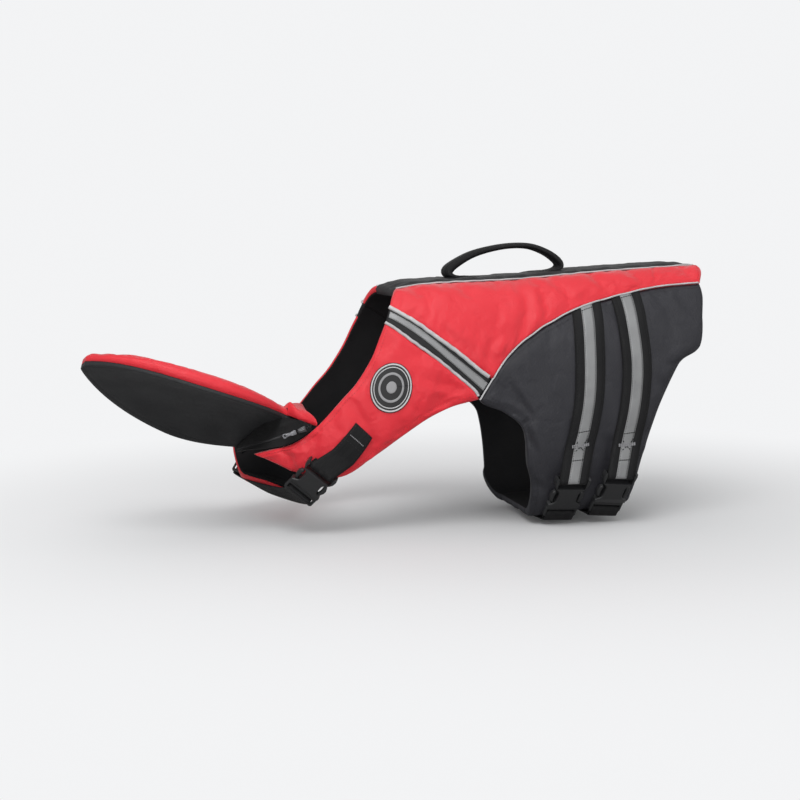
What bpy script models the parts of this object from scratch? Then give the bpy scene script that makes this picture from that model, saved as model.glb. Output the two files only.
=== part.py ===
"""Dog life jacket: a padded swim vest in red and black with a chin float, worn hollow.

Sizes are in millimetres here and become metres in the mesh. +Z is up, the head end is -X,
the jacket's left side is -Y. The origin is on the inner face of the spine panel, under the
middle of the lifting handle. A place on the garment is (x, angle): x along the back, and the
angle in degrees round the body from the spine (0) over the side (90) to the belly (180),
negative on the left side.
"""

import math
from collections import namedtuple

import bmesh
import bpy
from mathutils import Matrix, Vector
from mathutils.bvhtree import BVHTree

MM = 0.001

# ---- layers, in mm outward from the inner face ----
LINING_THICKNESS = 1.5
LAYER_GAP = 0.3
LINING_GAP = 0.6
PANEL_INNER = LINING_THICKNESS + LINING_GAP
PANEL_THICKNESS = 9.0
PANEL_RIM = 6.0
SEAM_GAP = 0.8
PIPING_RADIUS = 1.5
BAND_THICKNESS = 6.5
SPINE_THICKNESS = 11.0
SPINE_RIM = 8.0
NECK_ROLL_THICKNESS = 17.0
NECK_ROLL_FALL = 4.0
TRIM_LIFT = 1.7

# ---- where the flat back and the flat belly end, in degrees round the body ----
SPINE_SEAM = 30.0
SIDE = 90.0
BELLY_SEAM = 150.0
BACK_SHARE = 0.57
BELLY_SHARE = 0.50
LEAN_PER_DEGREE = 1.5

# ---- inner sections of the body, from the chest to the tail ----
Section = namedtuple("Section", "x top bottom half_width centre_y")
BODY_SECTIONS = [
    Section(-345, -150, -224, 42, 30),
    Section(-325, -120, -232, 60, 20),
    Section(-290, -85, -238, 77, 8),
    Section(-240, -45, -256, 90, 0),
    Section(-180, -18, -273, 98, 0),
    Section(-150, -11, -275, 100, 0),
    Section(-110, -5, -276, 102, 0),
    Section(0, 0, -274, 102, 0),
    Section(110, 9, -266, 101, 0),
    Section(260, 18, -254, 97, 0),
]

# ---- outlines of the panels in side view ----
Edge = namedtuple("Edge", "x z")
SPINE_FRONT_X = -150
SPINE_REAR_X = 240
BAND_TOP = [Edge(-162, -28), Edge(-45, -107)]
BAND_BOTTOM = [Edge(-169, -45), Edge(-61, -132)]
SIDE_SEAM = [
    Edge(-45, -108), Edge(-30, -87), Edge(-14, -71), Edge(13, -53), Edge(40, -40),
    Edge(66, -29.5), Edge(94, -21.5), Edge(135, -12.5), Edge(173, -6), Edge(226, -1),
]
NECK_EDGE = [
    Edge(-169, -45), Edge(-175, -57), Edge(-186, -81), Edge(-204, -109), Edge(-224, -131),
    Edge(-250, -160),
]
ZIP_EDGE_LEFT = [Edge(-250, -160), Edge(-268, -175), Edge(-286, -184), Edge(-316, -194)]
ZIP_EDGE_RIGHT = [Edge(-250, -160), Edge(-276, -176), Edge(-302, -188), Edge(-330, -199)]
LEG_EDGE = [
    Edge(-61, -132), Edge(-76, -134), Edge(-95, -139), Edge(-121, -151), Edge(-147, -168),
    Edge(-171, -185), Edge(-192, -200), Edge(-221, -217),
]
FLAP_FRONT = [
    Edge(-61, -132), Edge(-52, -138), Edge(-29, -147), Edge(-8, -163), Edge(-1.5, -180),
    Edge(2, -209), Edge(11, -240),
]
FLAP_REAR = [
    Edge(226, -1), Edge(226, -13), Edge(222, -37), Edge(219, -67), Edge(213, -78),
    Edge(194, -87), Edge(185, -99), Edge(167, -135), Edge(159, -162), Edge(152, -191),
    Edge(147, -225),
]

# ---- the same outlines where they turn under the body, by angle ----
Turn = namedtuple("Turn", "x angle")
LEG_EDGE_LEFT_END = [Turn(-250, 116.5), Turn(-277, 116)]
LEG_EDGE_RIGHT_END = [Turn(-237, 126), Turn(-254, 158), Turn(-274, 196)]
CHEST_FRONT_LEFT = [Turn(-296, 111)]
CHEST_FRONT_RIGHT = [Turn(-329, 116), Turn(-323, 142), Turn(-312, 162), Turn(-292, 182)]
BELLY_FRONT_X = 15
BELLY_REAR_X = 142

# ---- grid of the panels ----
BAND_COLUMNS = 7
SEAM_COLUMNS = 12
SIDE_ROWS = 4
SPINE_ROWS = 6
WING_COLUMNS = 11
FLAP_ROWS = 10
BELLY_ROWS = 4
CURVE_STEPS = 12
GROUND_REACH = 60.0
CLOTH_SMOOTH_ANGLE = 35.0
HARD_SMOOTH_ANGLE = 30.0

# ---- folds that lower the outer face of a panel ----
Fold = namedtuple("Fold", "x angle reach depth")
FOLDS = [
    Fold(4, 46, 22, 2.6), Fold(-22, 62, 20, 2.2), Fold(72, 42, 20, 1.8), Fold(172, 38, 16, 1.6),
    Fold(-96, 46, 22, 1.6), Fold(-208, 88, 18, 1.5), Fold(-120, 78, 24, 1.4),
    Fold(30, 92, 26, 1.6), Fold(176, 66, 22, 1.6), Fold(104, 120, 22, 1.4),
]
MM_PER_DEGREE = 2.0

# ---- webbing bands on the flaps: centre line from the seam to the buckle ----
WEBBING_WIDTH = 37.0
WEBBING_THICKNESS = 1.8
STRIPE_WIDTH = 14.5
STRIPE_THICKNESS = 0.8
TAPE_END_CUT = 0.16
BAND_TAPE_SHARES = (0.30, 0.50, 0.70)
FRONT_WEBBING = [
    Turn(77, 58), Turn(75, 70), Turn(74, 88), Turn(68, 100), Turn(61, 109), Turn(57, 113.8),
]
REAR_WEBBING = [
    Turn(127, 56), Turn(130, 66), Turn(134, 80), Turn(132, 92), Turn(125.5, 103),
    Turn(118.5, 114.5),
]
UNDER_BELLY = [Turn(4, 135), Turn(8, 180), Turn(9, 202)]
WEBBING_STEP = 6.0
SEAM_CLEARANCE = 3.2

# ---- lifting handle ----
Arch = namedtuple("Arch", "x rise width thickness")
HANDLE_ARCH = [
    Arch(-50, 2.5, 38, 2.4), Arch(-62, 4.5, 37, 2.8), Arch(-67, 9, 32, 4.5),
    Arch(-61, 16, 27, 6.5), Arch(-42, 28, 25, 7), Arch(-18, 35, 25, 7),
    Arch(8, 37.5, 25, 7), Arch(33, 35, 25, 7), Arch(54, 26, 25, 7), Arch(68, 15, 27, 6.5),
    Arch(72, 8, 32, 4.5), Arch(68, 4.0, 37, 2.8), Arch(58, 2.5, 38, 2.4),
]
HANDLE_COLUMNS = 26

# ---- chin float ----
FLOAT_BASE = Vector((-306, 0, -167))
FLOAT_LENGTH = 232.0
FLOAT_HALF_WIDTH = 88.0
FLOAT_YAW = 12.3
FLOAT_PITCH = 20.6
FLOAT_ROLL = 24.2
FLOAT_THICKNESS = 18.0
FLOAT_RIM = 13.0
FLOAT_UNDER = 3.0
FLOAT_SAG = 4.0
FLOAT_CUP = 16.0
FLOAT_BASE_SHARE = 0.716
FLOAT_TIP = 0.986
FLOAT_COLUMNS = 14
FLOAT_ROWS = 8
FLOAT_TIP_POWER = 3.117
FLOAT_TIP_ROUND = 1.208
FLOAT_FLARE = 2.5

# ---- neck bridge between the wings, behind the float ----
Spot = namedtuple("Spot", "x y z")
BRIDGE_REAR = [Spot(-252, -82, -158), Spot(-247, 0, -160), Spot(-243, 83, -154)]
BRIDGE_THICKNESS = 8.0
BRIDGE_CROWN = 3.0
BRIDGE_LIFT = 1.0
BRIDGE_FRONT_SHARE = -0.02
BRIDGE_COLUMNS = 8
BRIDGE_ROWS = 3

# ---- zip between the float and the chest ----
ZIP_UPPER = [
    Spot(-268, -84, -153), Spot(-287, -60, -151.5), Spot(-294.5, -35, -156.7),
    Spot(-302.5, -12, -164), Spot(-311, 10, -174), Spot(-320, 30, -186), Spot(-330, 49, -200),
]
ZIP_TEETH = [
    Spot(-257, -91, -158.5), Spot(-272, -90, -164), Spot(-286, -82, -169),
    Spot(-299, -55, -178), Spot(-309, -22, -186.5), Spot(-320, 12, -195), Spot(-330, 45, -203),
]
ZIP_LOWER = [
    Spot(-258, -92, -163.5), Spot(-273, -90, -174.5), Spot(-288, -80, -182.5),
    Spot(-303, -56, -188.5), Spot(-315, -24, -193.5), Spot(-323, 10, -199.5), Spot(-330, 41, -206),
]
ZIP_COLUMNS = 14
ZIP_TAPE_THICKNESS = 1.4
ZIP_TEETH_RADIUS = 1.3
ZIP_TEETH_CLEAR = 2.4

# ---- webbing on the chest: corners in side view, and how far the right one sits forward ----
CHEST_PATCH = [Edge(-207, -153.5), Edge(-188, -171), Edge(-245, -196), Edge(-220, -213)]
CHEST_RIGHT_FORWARD = 50.0
CHEST_WEBBING_WIDTH = 32.0
CHEST_BUCKLE_SIZE = (0.95, 0.98)
CHEST_PATCH_COLUMNS = 6
CHEST_STRAP_COLUMNS = 14

# ---- buckles: where the two bars lie on the body, and the height of the underside ----
Seat = namedtuple("Seat", "x angle lift")
CHEST_STRAP = [Seat(-276, -156, 13.2), Seat(-288, 180, 14.6), Seat(-305, 152, 16.0)]
BELLY_BUCKLES = {
    "front": (Seat(55, -117.5, 17.6), Seat(45, -147, 23.8)),
    "rear": (Seat(116, -118, 16.0), Seat(103, -146, 23.5)),
}
CHEST_BUCKLES = {
    "left": (Seat(-242, -111, 14.5), Seat(-266, -129, 17.0)),
    "right": (Seat(-291, 111, 14.5), Seat(-312, 130, 18.0)),
}

# ---- half outlines of a buckle for 37 mm webbing, in its own plane ----
Corner = namedtuple("Corner", "x y")
BUCKLE_THICKNESS = 10.0
BUCKLE_BODY = [
    Corner(18.9, -2.0), Corner(19.3, -4.6), Corner(21.4, -5.6), Corner(22.4, -2.0),
    Corner(21.8, 4.0), Corner(18.6, 9.0), Corner(14.6, 11.5), Corner(13.0, 15.0),
    Corner(13.4, 24.0), Corner(15.0, 26.2), Corner(21.5, 29.2), Corner(21.5, 33.0),
]
CLIP_THICKNESS = 5.6
CLIP_ARM = [
    Corner(4.7, 18.0), Corner(4.7, 33.6), Corner(12.5, 33.6), Corner(14.2, 30.0),
    Corner(15.8, 26.0), Corner(16.6, 22.0), Corner(16.2, 16.5), Corner(15.4, 13.6),
    Corner(17.4, 12.2), Corner(20.4, 13.4), Corner(22.0, 17.0), Corner(22.0, 21.0),
    Corner(20.2, 25.2), Corner(17.9, 27.4), Corner(17.9, 33.6), Corner(21.5, 33.6),
    Corner(21.5, 45.0), Corner(19.5, 47.0),
]
BUCKLE_EDGE = 0.9
WEBBING_SLOT = 18.7
BAR_GAP = 0.4
BUCKLE_BAR = 2.0
BODY_BAR_END = -BUCKLE_BAR - BAR_GAP
CLIP_BAR_END = 47.0 + BAR_GAP
BELLY_BUCKLE_SIZE = (1.0, 1.22)
Box = namedtuple("Box", "low high")
BUCKLE_CUTS = [
    Box((-WEBBING_SLOT, BUCKLE_BAR, -1), (WEBBING_SLOT, 7.6, 11)),
    Box((-WEBBING_SLOT, -9, 6.6), (WEBBING_SLOT, 3, 11)),
    Box((-WEBBING_SLOT, -9, -1), (WEBBING_SLOT, 3, 3.4)),
    Box((-18.3, 25.4, 1.9), (18.3, 34, 8.1)),
    Box((-5.1, 17.4, 1.9), (5.1, 26, 8.1)),
]
CLIP_CUTS = [Box((-WEBBING_SLOT, 37.4, 0), (WEBBING_SLOT, 43.6, 10))]

# ---- small parts ----
BADGE_WIDTH = 49.0
BADGE_HEIGHT = 56.0
BADGE_THICKNESS = 1.2
BADGE_GRID = 8
BADGE_PLACE = Turn(-166, -81.2)
SLIDER_COLUMN = 1
SLIDER_SIZE = (11.0, 8.0, 4.6)
SLIDER_EDGE = 0.5
PULL_SIZE = (17.0, 6.5, 1.6)
PULL_MIDDLE = (15.0, 0.0, 3.4)

RED = (0.80, 0.035, 0.055, 1.0)
BLACK = (0.018, 0.019, 0.022, 1.0)
CHARCOAL = (0.035, 0.037, 0.043, 1.0)
SILVER = (0.42, 0.43, 0.44, 1.0)
PALE_GREY = (0.62, 0.62, 0.62, 1.0)
BUCKLE_GREY = (0.045, 0.046, 0.05, 1.0)
STEEL = (0.6, 0.6, 0.6, 1.0)


# ---------------------------------------------------------------- scene and materials

def clear_scene():
    for item in list(bpy.data.objects):
        bpy.data.objects.remove(item, do_unlink=True)


def material(name, colour, roughness, metallic=0.0):
    made = bpy.data.materials.get(name)
    if made is None:
        made = bpy.data.materials.new(name)
        made.use_nodes = True
        shader = made.node_tree.nodes["Principled BSDF"]
        shader.inputs["Base Color"].default_value = colour
        shader.inputs["Roughness"].default_value = roughness
        shader.inputs["Metallic"].default_value = metallic
    return made


def red_cloth():
    return material("red_oxford", RED, 0.55)


def black_cloth():
    return material("black_oxford", BLACK, 0.6)


def charcoal_cloth():
    return material("charcoal_ripstop", CHARCOAL, 0.6)


def webbing_cloth():
    return material("black_webbing", BLACK, 0.7)


def reflective_tape():
    return material("reflective_tape", SILVER, 0.35)


def piping_cord():
    return material("pale_piping", PALE_GREY, 0.45)


def badge_rubber():
    return material("badge_rubber", BLACK, 0.45)


def buckle_plastic():
    return material("buckle_plastic", BUCKLE_GREY, 0.4)


def zip_metal():
    return material("zip_metal", STEEL, 0.3, 1.0)


def add_object(name, mesh, finish, smooth_angle=CLOTH_SMOOTH_ANGLE):
    mesh.materials.append(finish)
    thing = bpy.data.objects.new(name, mesh)
    bpy.context.scene.collection.objects.link(thing)
    mesh.shade_smooth()
    mesh.set_sharp_from_angle(angle=math.radians(smooth_angle))
    return thing


# ---------------------------------------------------------------- the body's form

def between(rows, field, x):
    """Value of one column of a table at x, on a smooth curve through its rows."""
    x = min(max(x, rows[0].x), rows[-1].x)
    low = 0
    while low < len(rows) - 2 and rows[low + 1].x < x:
        low += 1
    value = [getattr(row, field) for row in rows]
    place = [row.x for row in rows]
    before, high, after = max(low - 1, 0), low + 1, min(low + 2, len(rows) - 1)
    span = place[high] - place[low]
    t = (x - place[low]) / span
    slope_low = (value[high] - value[before]) / (place[high] - place[before]) * span
    slope_high = (value[after] - value[low]) / (place[after] - place[low]) * span
    return (
        (2 * t**3 - 3 * t**2 + 1) * value[low] + (t**3 - 2 * t**2 + t) * slope_low
        + (3 * t**2 - 2 * t**3) * value[high] + (t**3 - t**2) * slope_high
    )


def body_surface(x, angle):
    """Point of the body's inner surface, in mm: flat back, elliptical sides, flat belly."""
    top = between(BODY_SECTIONS, "top", x)
    bottom = between(BODY_SECTIONS, "bottom", x)
    half_width = between(BODY_SECTIONS, "half_width", x)
    if angle > 180:
        angle -= 360
    turn = abs(angle)
    if turn <= SPINE_SEAM:
        across, up = BACK_SHARE * turn / SPINE_SEAM, 1.0
    elif turn <= SIDE:
        lean = math.radians((turn - SPINE_SEAM) * LEAN_PER_DEGREE)
        across, up = BACK_SHARE + (1 - BACK_SHARE) * math.sin(lean), math.cos(lean)
    elif turn <= BELLY_SEAM:
        lean = math.radians((turn - SIDE) * LEAN_PER_DEGREE)
        across, up = BELLY_SHARE + (1 - BELLY_SHARE) * math.cos(lean), -math.sin(lean)
    else:
        across, up = BELLY_SHARE * (180 - turn) / (180 - BELLY_SEAM), -1.0
    y = between(BODY_SECTIONS, "centre_y", x) + math.copysign(across * half_width, angle)
    z = (top + bottom) / 2 + up * (top - bottom) / 2
    return Vector((x, y, z))


def body_point(x, angle, lift=0.0):
    """Point at a height above the body's inner surface, square to it."""
    step_x, step_angle = 0.5, 1.0
    along = body_surface(x + step_x, angle) - body_surface(x - step_x, angle)
    around = body_surface(x, angle + step_angle) - body_surface(x, angle - step_angle)
    return body_surface(x, angle) + lift * along.cross(around).normalized()


def at_height(edge):
    """(x, angle) of a place that is given in side view by x and z."""
    top = between(BODY_SECTIONS, "top", edge.x)
    bottom = between(BODY_SECTIONS, "bottom", edge.x)
    up = (edge.z - (top + bottom) / 2) / ((top - bottom) / 2)
    up = min(max(up, -1.0), 1.0)
    if up >= 0:
        return Turn(edge.x, SPINE_SEAM + math.degrees(math.acos(up)) / LEAN_PER_DEGREE)
    return Turn(edge.x, SIDE + math.degrees(math.asin(-up)) / LEAN_PER_DEGREE)


# ---------------------------------------------------------------- curves and patches

def spread(points, count):
    """count + 1 points at even steps along a smooth curve through the given points."""
    curve = []
    for i in range(len(points) - 1):
        a, b = points[i], points[i + 1]
        before = points[max(i - 1, 0)]
        after = points[min(i + 2, len(points) - 1)]
        for k in range(CURVE_STEPS):
            t = k / CURVE_STEPS
            curve.append(tuple(
                0.5 * (2 * b0 + (b1 - a1) * t + (2 * a1 - 5 * b0 + 4 * b1 - c1) * t**2
                       + (3 * b0 - a1 - 3 * b1 + c1) * t**3)
                for a1, b0, b1, c1 in zip(before, a, b, after)
            ))
    curve.append(tuple(points[-1]))
    lengths = [0.0]
    for first, second in zip(curve, curve[1:]):
        lengths.append(lengths[-1] + math.dist(first, second))
    result = []
    for k in range(count + 1):
        target = lengths[-1] * k / count
        i = 0
        while i < len(lengths) - 2 and lengths[i + 1] < target:
            i += 1
        t = (target - lengths[i]) / max(lengths[i + 1] - lengths[i], 1e-9)
        result.append(tuple(p + (q - p) * t for p, q in zip(curve[i], curve[i + 1])))
    return result


def side_route(edges, count):
    """Even steps along an outline that is given in side view, as (x, angle)."""
    return [at_height(Edge(*place)) for place in spread(edges, count)]


def fill_patch(first, last, start, finish):
    """Grid of (x, angle) between four edges: rows go from first to last, columns from
    start to finish."""
    columns, rows = len(first) - 1, len(start) - 1
    grid = []
    for j in range(rows + 1):
        v = j / rows
        row = []
        for i in range(columns + 1):
            u = i / columns
            row.append(tuple(
                (1 - v) * first[i][k] + v * last[i][k]
                + (1 - u) * start[j][k] + u * finish[j][k]
                - (1 - u) * (1 - v) * first[0][k] - u * (1 - v) * first[-1][k]
                - (1 - u) * v * last[0][k] - u * v * last[-1][k]
                for k in (0, 1)
            ))
        grid.append(row)
    return grid


def mirrored(grid):
    """The same grid on the body's left side."""
    return [[(x, -angle) for x, angle in row] for row in grid]


def trimmed(grid, place):
    """Grid of points with its rim drawn in by half the seam gap."""
    rows, columns = len(grid), len(grid[0])
    points = [[place(*grid[j][i]) for i in range(columns)] for j in range(rows)]
    result = [row[:] for row in grid]
    for j in range(rows):
        for i in range(columns):
            inner_j = min(max(j, 1), rows - 2)
            inner_i = min(max(i, 1), columns - 2)
            if (inner_i, inner_j) == (i, j):
                continue
            distance = (points[inner_j][inner_i] - points[j][i]).length
            share = SEAM_GAP / 2 / distance * math.hypot(inner_i != i, inner_j != j)
            result[j][i] = tuple(
                a + (b - a) * share for a, b in zip(grid[j][i], grid[inner_j][inner_i])
            )
    return result


def fold_depth(x, angle):
    """How far the folds lower the outer face at a place."""
    depth = 0.0
    for fold in FOLDS:
        away = math.hypot(x - fold.x, (abs(angle) - fold.angle) * MM_PER_DEGREE)
        depth += fold.depth * math.exp(-((away / fold.reach) ** 2))
    return depth


def solid(name, shape, finish, smooth_angle=CLOTH_SMOOTH_ANGLE):
    """Object from a closed bmesh, with its faces turned outward."""
    bmesh.ops.recalc_face_normals(shape, faces=shape.faces)
    if shape.calc_volume(signed=True) < 0:
        bmesh.ops.reverse_faces(shape, faces=shape.faces)
    mesh = bpy.data.meshes.new(name)
    shape.to_mesh(mesh)
    shape.free()
    return add_object(name, mesh, finish, smooth_angle)


def slab(name, columns, rows, place, finish, smooth_angle=CLOTH_SMOOTH_ANGLE):
    """Closed sheet: a grid of columns by rows, extruded once, each corner put in its place
    by place(i, j, side) with side 0 on the inner face and 1 on the outer face."""
    sheet = bmesh.new()
    bmesh.ops.create_grid(sheet, x_segments=columns, y_segments=rows, size=0.5)
    raised = bmesh.ops.extrude_face_region(sheet, geom=sheet.faces[:], use_keep_orig=True)
    outer = [item for item in raised["geom"] if isinstance(item, bmesh.types.BMVert)]
    bmesh.ops.translate(sheet, verts=outer, vec=(0, 0, 1))
    for corner in sheet.verts:
        i = round((corner.co.x + 0.5) * columns)
        j = round((corner.co.y + 0.5) * rows)
        corner.co = place(i, j, round(corner.co.z)) * MM
    return solid(name, sheet, finish, smooth_angle)


def panel(name, grid, inner, thickness, rim, finish):
    """Padded panel on the body: crowned in the middle, thinner along its rim."""
    grid = trimmed(grid, body_point)
    rows, columns = len(grid) - 1, len(grid[0]) - 1

    def place(i, j, side):
        x, angle = grid[j][i]
        if side == 0:
            return body_point(x, angle, inner)
        if i in (0, columns) or j in (0, rows):
            return body_point(x, angle, inner + rim)
        dip = fold_depth(x, angle) if thickness > rim else 0.0
        return body_point(x, angle, inner + thickness - dip)

    return slab(name, columns, rows, place, finish)


def tube(name, points, radius, finish, resolution=1):
    """Round cord through a list of points in mm."""
    curve = bpy.data.curves.new(name, "CURVE")
    curve.dimensions = "3D"
    curve.bevel_depth = radius * MM
    curve.bevel_resolution = resolution
    curve.use_fill_caps = True
    spline = curve.splines.new("POLY")
    spline.points.add(len(points) - 1)
    for spot, point in zip(spline.points, points):
        spot.co = (*(point * MM), 1.0)
    curve.materials.append(finish)
    thing = bpy.data.objects.new(name, curve)
    bpy.context.scene.collection.objects.link(thing)
    return thing


# ---------------------------------------------------------------- the cut of the panels

def garment_grids():
    """(x, angle) grids of the right-hand panels, which share their points at the seams."""
    band_top = side_route(BAND_TOP, BAND_COLUMNS)
    band_bottom = side_route(BAND_BOTTOM, BAND_COLUMNS)
    seam = side_route(SIDE_SEAM, SEAM_COLUMNS)
    seam[0] = band_top[-1]
    columns = BAND_COLUMNS + SEAM_COLUMNS
    spine_line = spread([(SPINE_FRONT_X, SPINE_SEAM), (SPINE_REAR_X, SPINE_SEAM)], columns)

    upper = fill_patch(
        spine_line, band_top + seam[1:],
        spread([spine_line[0], band_top[0]], SIDE_ROWS),
        spread([spine_line[-1], seam[-1]], SIDE_ROWS),
    )
    band_middle = [
        tuple((a + b) / 2 for a, b in zip(*pair)) for pair in zip(band_top, band_bottom)
    ]
    band = [band_top, band_middle, band_bottom]

    wings = {}
    for side, zip_edge, leg_end, front in (
        ("left", ZIP_EDGE_LEFT, LEG_EDGE_LEFT_END, CHEST_FRONT_LEFT),
        ("right", ZIP_EDGE_RIGHT, LEG_EDGE_RIGHT_END, CHEST_FRONT_RIGHT),
    ):
        neck = [tuple(at_height(edge)) for edge in NECK_EDGE + zip_edge[1:]]
        leg = [tuple(at_height(edge)) for edge in LEG_EDGE] + [tuple(t) for t in leg_end]
        neck = spread(neck, WING_COLUMNS)
        leg = spread(leg, WING_COLUMNS)
        end = spread([neck[-1]] + [tuple(t) for t in front] + [leg[-1]], BAND_COLUMNS)
        wings[side] = fill_patch(neck, leg, band_bottom, end)
        for j in range(BAND_COLUMNS + 1):
            wings[side][j][0] = band_bottom[j]

    flap_top = [band_bottom[-1]] + seam
    columns = len(flap_top) - 1
    belly_line = spread([(BELLY_FRONT_X, BELLY_SEAM), (BELLY_REAR_X, BELLY_SEAM)], columns)
    flap = fill_patch(
        flap_top, belly_line,
        spread([tuple(at_height(e)) for e in FLAP_FRONT] + [belly_line[0]], FLAP_ROWS),
        spread([tuple(at_height(e)) for e in FLAP_REAR] + [belly_line[-1]], FLAP_ROWS),
    )
    return {
        "spine_line": spine_line, "upper": upper, "band": band, "wings": wings,
        "flap": flap, "belly_line": belly_line, "seam": seam,
        "band_top": band_top, "band_bottom": band_bottom,
    }


def for_side(grid, side):
    return mirrored(grid) if side == "left" else grid


def make_spine(grids):
    """Flat padded back panel, thick and rolled at the neck."""
    line = grids["spine_line"]
    rows = SPINE_ROWS
    grid = [
        [(x, -SPINE_SEAM + 2 * SPINE_SEAM * j / rows) for x, _ in line] for j in range(rows + 1)
    ]
    grid = trimmed(grid, body_point)
    columns = len(line) - 1

    def place(i, j, side):
        x, angle = grid[j][i]
        if side == 0:
            return body_point(x, angle, 0.0)
        height = SPINE_THICKNESS
        if i in (0, columns) or j in (0, rows):
            height = SPINE_RIM
        if i <= 1 and 0 < j < rows:
            height = NECK_ROLL_THICKNESS - NECK_ROLL_FALL * i
        return body_point(x, angle, height)

    return slab("spine_panel", columns, rows, place, black_cloth())


def make_side_panels(grids, side):
    padding = (PANEL_INNER, PANEL_THICKNESS, PANEL_RIM)
    panel("upper_side_" + side, for_side(grids["upper"], side), *padding, red_cloth())
    wing = panel(
        "chest_wing_" + side, for_side(grids["wings"][side], side), *padding, red_cloth()
    )
    flap_padding = (0.0, PANEL_THICKNESS + PANEL_INNER, PANEL_RIM + PANEL_INNER)
    flap = panel(
        "belly_flap_" + side, for_side(grids["flap"], side), *flap_padding, charcoal_cloth()
    )
    return flap, wing


def make_lining(grids, side):
    thickness = LINING_THICKNESS
    panel(
        "lining_upper_" + side, for_side(grids["upper"], side),
        0.0, thickness, thickness, black_cloth(),
    )
    wing = grids["wings"][side]
    with_band = [[grids["band_top"][j]] + wing[j] for j in range(len(wing))]
    panel(
        "lining_wing_" + side, for_side(with_band, side),
        0.0, thickness, thickness, black_cloth(),
    )


def make_band(grids, side):
    """Black shoulder band between the two red panels, with its strip of reflective tape."""
    band = panel(
        "shoulder_band_" + side, for_side(grids["band"], side),
        PANEL_INNER, BAND_THICKNESS, PANEL_RIM, black_cloth(),
    )
    ground = ground_of([band])
    top, _, bottom = for_side(grids["band"], side)
    rows = []
    for share in BAND_TAPE_SHARES:
        row = [tuple(a + (b - a) * share for a, b in zip(*pair)) for pair in zip(top, bottom)]
        row[0] = tuple(a + (b - a) * TAPE_END_CUT for a, b in zip(row[0], row[1]))
        row[-1] = tuple(a + (b - a) * TAPE_END_CUT for a, b in zip(row[-1], row[-2]))
        rows.append(row)
    trim_on_body(
        "shoulder_tape_" + side, rows, ground, LAYER_GAP, STRIPE_THICKNESS, reflective_tape()
    )


# ---------------------------------------------------------------- what lies on the panels

def ground_of(things):
    """Function that gives the height of the outermost of some pieces over a place."""
    trees = []
    for thing in things:
        corners = [corner.co / MM for corner in thing.data.vertices]
        faces = [tuple(face.vertices) for face in thing.data.polygons]
        trees.append(BVHTree.FromPolygons(corners, faces))

    def height(x, angle):
        outside = body_point(x, angle, GROUND_REACH)
        inward = (body_point(x, angle) - outside).normalized()
        hits = [tree.ray_cast(outside, inward)[3] for tree in trees]
        hits = [hit for hit in hits if hit is not None]
        return GROUND_REACH - min(hits) if hits else None

    return height


def trim_on_body(name, rows, ground, lift, thickness, finish, bar=None):
    """Thin piece that lies on a panel: it follows the highest ground beside each corner.
    A strap that is held by a buckle ends level with the middle of its bar."""
    highest = [[0.0] * len(row) for row in rows]
    for j, row in enumerate(rows):
        for i, (x, angle) in enumerate(row):
            near = [(x, angle)]
            for other_j, other_i in ((j, i - 1), (j, i + 1), (j - 1, i), (j + 1, i)):
                if 0 <= other_j < len(rows) and 0 <= other_i < len(row):
                    other = rows[other_j][other_i]
                    near.append(((x + other[0]) / 2, (angle + other[1]) / 2))
            heights = [ground(*place) for place in near]
            heights = [value for value in heights if value is not None]
            highest[j][i] = max(heights) if heights else PANEL_INNER + PANEL_RIM
    columns, last = len(rows[0]) - 1, len(rows) - 1

    def place(i, j, side):
        if i > columns:
            across = bar.col[0].xyz
            if across.dot(body_point(*rows[last][columns]) - body_point(*rows[0][columns])) < 0:
                across = -across
            width = body_point(*rows[last][columns]) - body_point(*rows[0][columns])
            middle = bar.translation + bar.col[2].xyz * (side - 0.5) * thickness
            return middle + across * (j / last - 0.5) * abs(width.dot(across))
        return body_point(*rows[j][i], highest[j][i] + lift + side * thickness)

    return slab(name, columns + (bar is not None), last, place, finish)


def below_seam(x):
    """Angle just below the side seam and its piping."""
    return at_height(Edge(x, between(SIDE_SEAM, "z", x))).angle + SEAM_CLEARANCE


def strap_grid(route, width, end_cut=0.0):
    """(x, angle) grid of a strap round the body, which starts along the side seam."""
    count = round(abs(route[-1].angle - route[0].angle) / WEBBING_STEP)
    rows = []
    for share in (-0.5, 0.0, 0.5):
        places = [(x + share * width, angle) for x, angle in route]
        places[0] = (places[0][0], below_seam(places[0][0]))
        line = spread(places, count)
        line[0] = tuple(a + (b - a) * end_cut for a, b in zip(line[0], line[1]))
        line[-1] = tuple(a + (b - a) * end_cut for a, b in zip(line[-1], line[-2]))
        rows.append(line)
    return rows


def make_webbing(side, panels):
    """Two sewn bands of webbing down each flap, each with a strip of reflective tape. The
    left ones end at the buckles, the right ones run on under the belly to the clips."""
    ground = ground_of(panels)
    for label, route in (("front", FRONT_WEBBING), ("rear", REAR_WEBBING)):
        seat = seat_matrix(*BELLY_BUCKLES[label])
        stripe = strap_grid(route, STRIPE_WIDTH, end_cut=TAPE_END_CUT)
        bar = bar_place(seat, BODY_BAR_END * BELLY_BUCKLE_SIZE[1])
        if side == "right":
            end = route[-1].x
            route = route + [Turn(end - x, angle) for x, angle in UNDER_BELLY]
            bar = bar_place(seat, CLIP_BAR_END * BELLY_BUCKLE_SIZE[1])
        rows = strap_grid(route, WEBBING_WIDTH)
        band = trim_on_body(
            "webbing_" + label + "_" + side, for_side(rows, side), ground,
            TRIM_LIFT, WEBBING_THICKNESS, webbing_cloth(), bar,
        )
        trim_on_body(
            "stripe_" + label + "_" + side, for_side(stripe, side), ground_of([band]),
            LAYER_GAP, STRIPE_THICKNESS, reflective_tape(),
        )


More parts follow.
